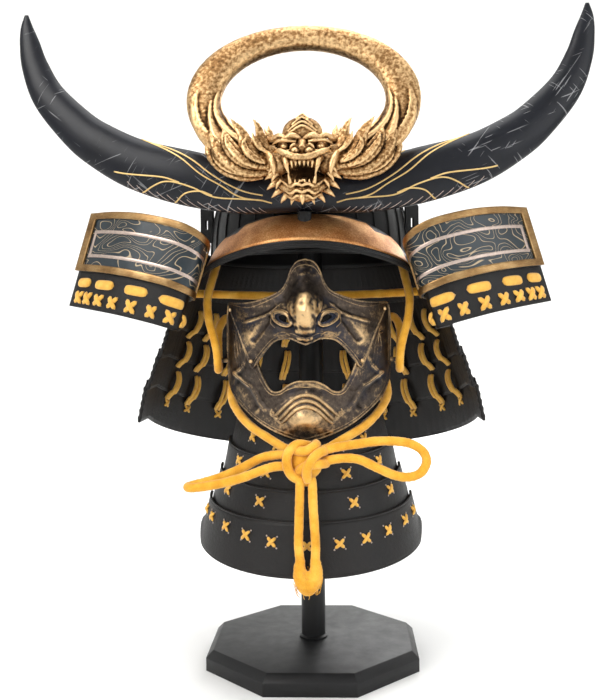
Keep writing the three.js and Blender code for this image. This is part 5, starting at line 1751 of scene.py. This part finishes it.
for name, px, pz in (("cheek", 0.84, 0.735), ("mouth", 0.587, 0.447)):
    x, z = px * MASK_WIDTH / 2, MASK_CHIN + pz * MASK_HEIGHT
    stud = turned([(0, 0), (1.9, 0), (1.85, 0.5), (1.5, 1.2), (0.9, 1.6), (0, 1.75)], 20)
    set_on_mask(stud, x, z, MASK_WALL * 2 + 2 * CLEAR - 0.6)
    for made in both_sides(stud, "mask_rivet_" + name, MASK_IRON, "bronze", ["rivet_" + name], crease=60):
        rub_marks(made, 3, 0.2)
peg = turned([(0, 0), (2, 0), (2, 9), (3.1, 9.4), (3.4, 10.2), (3.2, 11.2), (2.3, 11.9), (0, 12)], 24)
set_on_mask(peg, 0.972 * MASK_WIDTH / 2, MASK_CHIN + 0.44 * MASK_HEIGHT, CLEAR)
for made in both_sides(peg, "mask_cheek_peg", MASK_IRON, "bronze", ["cheek_peg"], crease=50):
    rub_marks(made, 3, 0.2)
print("rivets and pegs set")

# %% [markdown]
# ## The crest
# The ring and the dragon are one carved and gilded piece on the real helmet, full of flames that lap over each
# other. A carver's form like this is easiest to build as a sculptor does, from pellets and rolls of clay: balls
# and tapered bars are pressed together, and a voxel remesh then draws one even skin round them all. A little
# noise roughens the skin, and the skin's ridges and hollows are stored for the worn gilding.

# %% Clay tools
def ball(x, y, z, rx, ry, rz):
    bm = bmesh.new()
    bmesh.ops.create_icosphere(bm, subdivisions=3, radius=1.0)
    bmesh.ops.scale(bm, vec=(rx, ry, rz), verts=bm.verts)
    bmesh.ops.translate(bm, vec=(x, y, z), verts=bm.verts)
    return bm


def roll(rows, flat=1.0, sides=12, steps=20):
    """A tapered bar through rows of (x, y, z, radius)."""
    path = through([Vector(row[:3]) for row in rows])
    girths = [(row[3],) for row in rows]
    return tube(path, lambda t: max(0.15, eased(girths, t)[0]), sides, steps, flat)


def both(*parts):
    """The parts and their mirror images, in one bmesh."""
    right = gather(*parts)
    return gather(mirrored(right), right)


def fused(bm, voxel, rough, fine):
    """One even skin round everything in the bmesh, roughened by noise."""
    clay = bpy.data.meshes.new("clay")
    bm.to_mesh(clay)
    bm.free()
    lump = bpy.data.objects.new("clay", clay)
    bpy.context.scene.collection.objects.link(lump)
    wrap = lump.modifiers.new("wrap", "REMESH")
    wrap.mode, wrap.voxel_size = "VOXEL", voxel
    bpy.context.view_layer.update()
    skin = bpy.data.meshes.new_from_object(lump.evaluated_get(bpy.context.evaluated_depsgraph_get()))
    bpy.data.objects.remove(lump)
    bpy.data.meshes.remove(clay)
    out = bmesh.new()
    out.from_mesh(skin)
    bpy.data.meshes.remove(skin)
    bmesh.ops.smooth_vert(out, verts=out.verts, factor=0.5, use_axis_x=True, use_axis_y=True, use_axis_z=True)
    out.normal_update()
    for vertex in out.verts:
        wave = noise.noise(vertex.co * fine) + 0.5 * noise.noise(vertex.co * fine * 2.7)
        vertex.co += vertex.normal * rough * wave
    return out


print("clay tools ready")

# %% [markdown]
# The ring is a plain oval band above. Its lower sides are covered by long leaves that start as points a third
# of the way down and swell towards the dragon. Each leaf is a roll that follows the ring's own surface.

# %% Ring with its leaves
def leaf(path, front, rows, thick, sides):
    """A broad leaf along path(t), lying square to front(t); rows are its half widths from base to tip."""
    def place(u, v):
        along = (path(min(1, v + 0.01)) - path(max(0, v - 0.01))).normalized()
        across = along.cross(front(v)).normalized()
        up = across.cross(along)
        half, angle = max(0.2, eased(rows, v)[0]), u * math.tau
        keel = 1 + 0.75 * math.cos(angle)
        return path(v) + across * half * math.cos(angle) + up * half * thick * math.sin(angle) * keel

    return closed_tube(sheet(sides, 30, place))


RING_LEAVES = [
    (2.75, 1.28, -0.22, -0.36, 6.5), (2.9, 1.52, -0.44, -0.60, 8.0), (2.8, 1.22, -0.70, -0.78, 6.0),
    (3.0, 1.86, -0.28, -0.42, 8.0), (2.95, 2.02, -0.62, -0.74, 6.5), (3.0, 1.62, -0.02, -0.14, 5.5),
    (2.9, 1.72, -0.84, -0.96, 5.0),
]


def ring_leaf(a0, a1, r0, r1, half):
    def path(t):
        sway = 0.07 * math.sin(t * math.pi * 1.5)
        return ring_point(lerp(a0, a1, t), (lerp(r0, r1, t) + sway) * math.pi, -0.6)

    def front(t):
        spot = (lerp(a0, a1, t), lerp(r0, r1, t) * math.pi)
        return (ring_point(*spot, 1.0) - ring_point(*spot, 0.0)).normalized()

    return leaf(path, front, [(half * 0.6,), (half,), (half * 0.9,), (half * 0.55,), (0.2,)], 0.4, 14)


band_bm = sheet(200, 32, lambda u, v: ring_point(u * math.tau, v * math.tau))
closed_tube(band_bm, fill=False)
ring_bm = fused(gather(band_bm, both(*[ring_leaf(*row) for row in RING_LEAVES])), 0.85, 0.2, 0.3)
ring_obj = piece(ring_bm, "crest_ring_gilt", GILT, "gold", ["crest_ring"])
rub_marks(ring_obj, 7, 0.22)
print("ring skin:", len(ring_obj.data.polygons), "faces")

# %% [markdown]
# Each wing is a bunch of broad flames between the dragon's cheek and the ring. They curl at their tips and lap
# over each other like shingles, so that the light catches an edge along each and the gaps stay dark.

# %% Wings
WING_FLAMES = [
    [(28, -143, 473, 4), (43, -145, 473, 6.5), (57, -145, 478, 8.5), (68, -143.5, 489, 9), (75, -141, 503, 6.5),
     (79, -138, 514, 0.4)],
    [(30, -148, 480, 3), (40, -149.5, 484, 5.5), (47, -149.5, 493, 6.5), (51, -148, 503, 5), (56.5, -147.5, 511, 2.6),
     (61.5, -149.5, 517, 0.4)],
    [(27, -149, 486, 3), (33, -149.5, 492, 5), (35.5, -149.5, 501, 4.6), (37.5, -150.5, 509, 2.8),
     (42, -152, 515.5, 0.4)],
    [(28, -149, 476, 3), (38, -150, 477, 4.6), (50, -150.5, 481, 6), (60, -148.5, 490, 6.4), (66, -145.5, 501, 4.4),
     (68, -143, 511, 0.4)],
    [(27, -147, 496, 3.6), (27.5, -148, 503, 3.2), (29, -149, 510, 0.4)],
    [(34, -142, 469, 3.4), (50, -142, 470, 6), (66, -141, 476.5, 7), (78, -139, 488, 6), (85, -136.5, 501, 0.6)],
    [(31, -152.5, 478, 1.6), (39, -154, 481, 2.8), (46.5, -154, 487, 3.2), (49.5, -153, 494, 2.4),
     (47, -153.5, 500, 0.4)],
    [(38, -152.5, 474.5, 2), (48, -153, 479, 3.2), (57, -152, 486, 3.4), (63.5, -150, 495, 2.6),
     (66, -148.5, 504, 0.4)],
    [(30, -152, 487, 1.6), (36, -153, 491, 2.4), (40, -152.5, 497, 2.4), (42.5, -152, 504, 0.4)],
    [(52, -147, 469.5, 1.6), (64, -146, 474.5, 3), (73, -144.5, 482, 3), (79, -142, 491, 0.4)],
]
flames = []
for rows in WING_FLAMES:
    line = through([Vector(row[:3]) for row in rows])
    flames.append(leaf(line, lambda t: Vector((0, -1, 0)), [(row[3],) for row in rows], 0.42, 16))
backing = roll([(28, -137, 480, 7), (45, -137, 484, 9), (62, -136.5, 490, 8), (78, -136, 497, 4.5)], 0.8, 14, 20)
wing_bm = fused(gather(backing, *flames), 0.65, 0.35, 0.35)
for made in both_sides(wing_bm, "crest_wing_flames", GILT, "gold", ["crest_wing"]):
    rub_marks(made, 6, 0.3)
print("wings of", len(WING_FLAMES), "flames each")

# %% [markdown]
# The dragon's head is built from the back forward: a skull, a shield of a forehead with chevrons, brows over
# deep eyes, a short snout, a lip as thick as a rope with fangs under it, a mouth left open, and a jaw with a
# ragged beard. Only the right half is listed where a form has a twin.

# %% The dragon's forms
middle_forms = [
    ball(0, -141, 488, 24, 11.5, 19), ball(0, -137.5, 466, 20, 8, 20), ball(0, -148, 503, 17.5, 9.5, 14),
    roll([(0, -141, 505, 8), (0, -143.5, 513, 6.5), (0, -142, 520, 0.8)]), ball(0, -157, 487.5, 8.5, 11, 5.5),
    roll([(0, -154, 495, 3.6), (0, -162, 491.5, 3.6), (0, -167.5, 487, 2.8)]),
    roll([(0, -146, 460.5, 4.2), (0, -154, 461.5, 4.4), (0, -161, 459.5, 3.8), (0, -165.5, 461, 1.6)], 0.55),
    roll([(0, -160, 452, 4.4), (0, -164.5, 446, 2.6), (0, -164, 440.6, 0.4)]),
]
for k in range(4):
    reach, top = 5.5 + 3.4 * k, 518.5 - 3.7 * k
    rows = []
    for x, drop in ((-1, 8.5), (-0.6, 4.4), (0, 0), (0.6, 4.4), (1, 8.5)):
        px, pz = x * reach, top - drop * (0.6 + 0.16 * k)
        inside = max(0.02, 1 - (px / 17.5) ** 2 - ((pz - 503) / 16.5) ** 2)
        rows.append((px, -148 - 9.6 * math.sqrt(inside), pz, 0.95))
    middle_forms.append(roll(rows, 1.0, 8, 30))
twin_rows = [
    [(1.5, -158.5, 496.5, 1.6), (8, -160, 498.6, 3.0), (14, -159, 497, 2.7), (20, -156, 499.6, 2.4),
     (27, -150.5, 498, 1.8), (32.5, -146, 503.5, 0.4)],
    [(5, -160, 493.4, 1.2), (12, -160.6, 494.6, 1.7), (19.5, -157.6, 495.2, 1.6), (26, -152.5, 492.6, 0.5)],
    [(7, -158.5, 487.6, 0.8), (13, -160, 485.8, 1.5), (19, -158, 486.6, 1.4), (24, -154, 490.6, 0.6)],
    [(0, -168.5, 479.0, 2.7), (7.5, -168.3, 480.2, 3.0), (14.5, -165, 483.4, 2.8), (20.3, -160.4, 486.2, 2.2),
     (23.5, -156, 485.2, 0.9)],
    [(31.5, -146, 489, 0.8), (29, -153, 485.4, 2.4), (26, -158, 479, 3.2), (24, -160, 472, 2.5),
     (23.6, -159.6, 465.6, 0.4)],
    [(13.8, -164.5, 479, 2.8), (12.8, -166.4, 472.6, 2.0), (10.6, -165.6, 464.6, 0.3)],
    [(8.8, -165.6, 477.6, 1.5), (8.4, -166.6, 473, 1.0), (8.0, -166.2, 470.2, 0.3)],
    [(5.2, -167, 477.4, 1.4), (5.1, -167.6, 473.8, 0.9), (5.0, -167.2, 471.6, 0.3)],
    [(1.8, -167.6, 477, 1.4), (1.8, -168.2, 473.8, 0.9), (1.8, -167.8, 471.8, 0.3)],
    [(0, -161.5, 452.6, 4.0), (8, -160, 453.6, 3.8), (15, -155.6, 456.4, 3.4), (20, -149, 462, 3.0),
     (22.5, -141, 470, 2.4)],
    [(0, -165.6, 456.4, 1.4), (5, -165, 457.8, 1.5), (10, -162.2, 456.0, 1.4), (15, -158, 459.4, 1.3),
     (19.5, -152, 464.6, 0.8)],
    [(0, -165.6, 450.6, 1.3), (5, -164.6, 452.4, 1.4), (9.6, -162, 450.4, 1.4), (14, -158, 453.4, 1.3),
     (18.5, -152.6, 457.8, 0.7)],
    [(0, -164.6, 446.6, 1.0), (4.4, -163.2, 448.2, 1.2), (8.6, -160.6, 446.4, 1.2), (12.6, -157, 449, 1.0),
     (16.6, -152.6, 452.6, 0.5)],
    [(9.6, -161.6, 457.4, 1.9), (10.8, -163.4, 462.6, 1.4), (12.0, -163, 467.6, 0.3)],
    [(5.8, -163.8, 457.6, 1.2), (6.0, -164.4, 460.6, 0.8), (6.2, -164.2, 462.4, 0.3)],
    [(2.2, -164.6, 457.8, 1.2), (2.3, -165.2, 460.4, 0.8), (2.3, -165, 462.2, 0.3)],
    [(20, -147, 471, 3.4), (27, -148.5, 468, 2.5), (33, -146.5, 464.4, 0.3)],
    [(20, -147, 463.4, 3.2), (26.4, -148.4, 459.6, 2.3), (31.5, -146.4, 455.6, 0.3)],
    [(17, -149, 456.6, 3.0), (23, -149.6, 452.4, 2.1), (27.4, -147.6, 448.8, 0.3)],
    [(12, -153, 452, 2.8), (16.4, -153.6, 447.2, 1.9), (19, -151.6, 443.4, 0.3)],
    [(6, -157, 449.6, 2.4), (8.8, -157.6, 445.2, 1.6), (10, -156, 441.4, 0.3)],
    [(22, -154, 475, 1.8), (26.6, -154.4, 471.4, 1.5), (29.6, -152.4, 467.2, 0.3)],
    [(21, -155, 468.4, 1.8), (24.6, -156, 464.4, 1.5), (26.4, -154.6, 460, 0.3)],
    [(18, -156, 462.4, 1.8), (21.2, -157, 458.4, 1.4), (22.6, -155.6, 454.2, 0.3)],
    [(23, -144, 497, 3.0), (29, -144.6, 502, 2.4), (33.5, -143.5, 509.4, 0.3)],
    [(24, -145, 491, 2.8), (31, -147, 492.6, 2.2), (37, -146.4, 498.4, 0.3)],
    [(5.6, -163, 491.4, 1.2), (8.6, -162.8, 489.4, 1.4), (10, -161.8, 486.6, 0.8)],
]
print("dragon of", len(middle_forms), "middle forms and", len(twin_rows), "bars a side")

# %% Dragon
twin_forms = [roll(rows) for rows in twin_rows]
twin_forms += [ball(15.2, -154.5, 490.6, 3.5, 3.5, 3.3), ball(6.0, -166.4, 484.6, 3.6, 3.6, 3.0)]
twin_forms += [
    ball(9, -157, 480, 9, 7.5, 5.0), ball(20, -147, 477, 8.0, 9.5, 9.0), ball(27, -140, 493, 8, 4.5, 8),
]
dragon_bm = fused(gather(*middle_forms, both(*twin_forms)), 0.62, 0.16, 0.5)
dragon = piece(dragon_bm, "crest_dragon", GILT, "gold", ["dragon_face"])
rub_marks(dragon, 8, 0.32)
# Painted shade: the open mouth and the eye sockets are darkened where they lie behind the front of the face.
polish_and_shade(dragon, [(0, 469, 14, 8, -0.8)], -163)
polish_and_shade(dragon, [(15, 491, 9, 4, -0.6)], -157.5)
print("dragon skin:", len(dragon.data.polygons), "faces")

# %% [markdown]
# The cord's two ends are felted together into one soft lump below the bow. The same clay tools make it: two
# rolls are pressed together, and single threads are left hanging out at its foot.

# %% Tuft of the cord
tuft_forms = []
for end, lean in ((7.4, -1), (-4.9, 1)):
    tuft_forms.append(roll([
        (end, -157.5, 142, 4.1), (end - lean * 0.9, -157.5, 134, 5.2), (end + lean * 0.4, -157.4, 126, 6.8),
        (end + lean * 3.2, -157.4, 118, 6.2), (end + lean * 5, -157.5, 112.5, 3.4),
        (end + lean * 5.6, -157.5, 110.4, 1.0),
    ], 1.0, 14, 24))
tuft_bm = fused(gather(*tuft_forms, ball(1.4, -157.4, 122, 8.5, 5.6, 10)), 0.7, 0.55, 0.42)
dice = random.Random(11)
threads = []
for _ in range(90):
    a, top = dice.uniform(0, math.tau), dice.uniform(113, 136)
    wide = lerp(9.2, 12.6, bump(top, 125, 9))
    root = Vector((1.3 + wide * math.cos(a), -157.4 + 6.1 * math.sin(a), top))
    drop = Vector((dice.uniform(-1.2, 1.2) - 1.6 * math.cos(a), dice.uniform(-0.6, 0.6), -dice.uniform(2.5, 5.5)))
    out = Vector((math.cos(a), math.sin(a), 0)) * dice.uniform(0.2, 0.9)

    def thread(t, root=root, drop=drop, out=out):
        return root + drop * t + out * math.sin(math.pi * t)

    threads.append(tube(thread, 0.28, 4, 5))
piece(gather(tuft_bm, *threads), "cord_tuft_felted", CORD_FINISH, "cord", ["cord_tuft"])
print("tuft made, with", len(threads), "threads")

# %% [markdown]
# Two small solids stay as they are: the hidden bracket that carries the horns, and the dark stub below the
# dragon. They get the bowl's black iron. Then the box of the plain solids and the box of everything that shows
# are written down side by side, so that the two can be compared.

# %% Kept solids and the two boxes
for node in bpy.data.objects:
    if "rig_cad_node" in node and not node.hide_render:
        node.data.materials.clear()
        node.data.materials.append(IRON)
        print("kept", node.name)
both_boxes = {"cad": cad_box, "visual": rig.bounds()}
with open("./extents.json", "w") as out:
    json.dump({word: [list(map(float, corner)) for corner in box] for word, box in both_boxes.items()}, out)
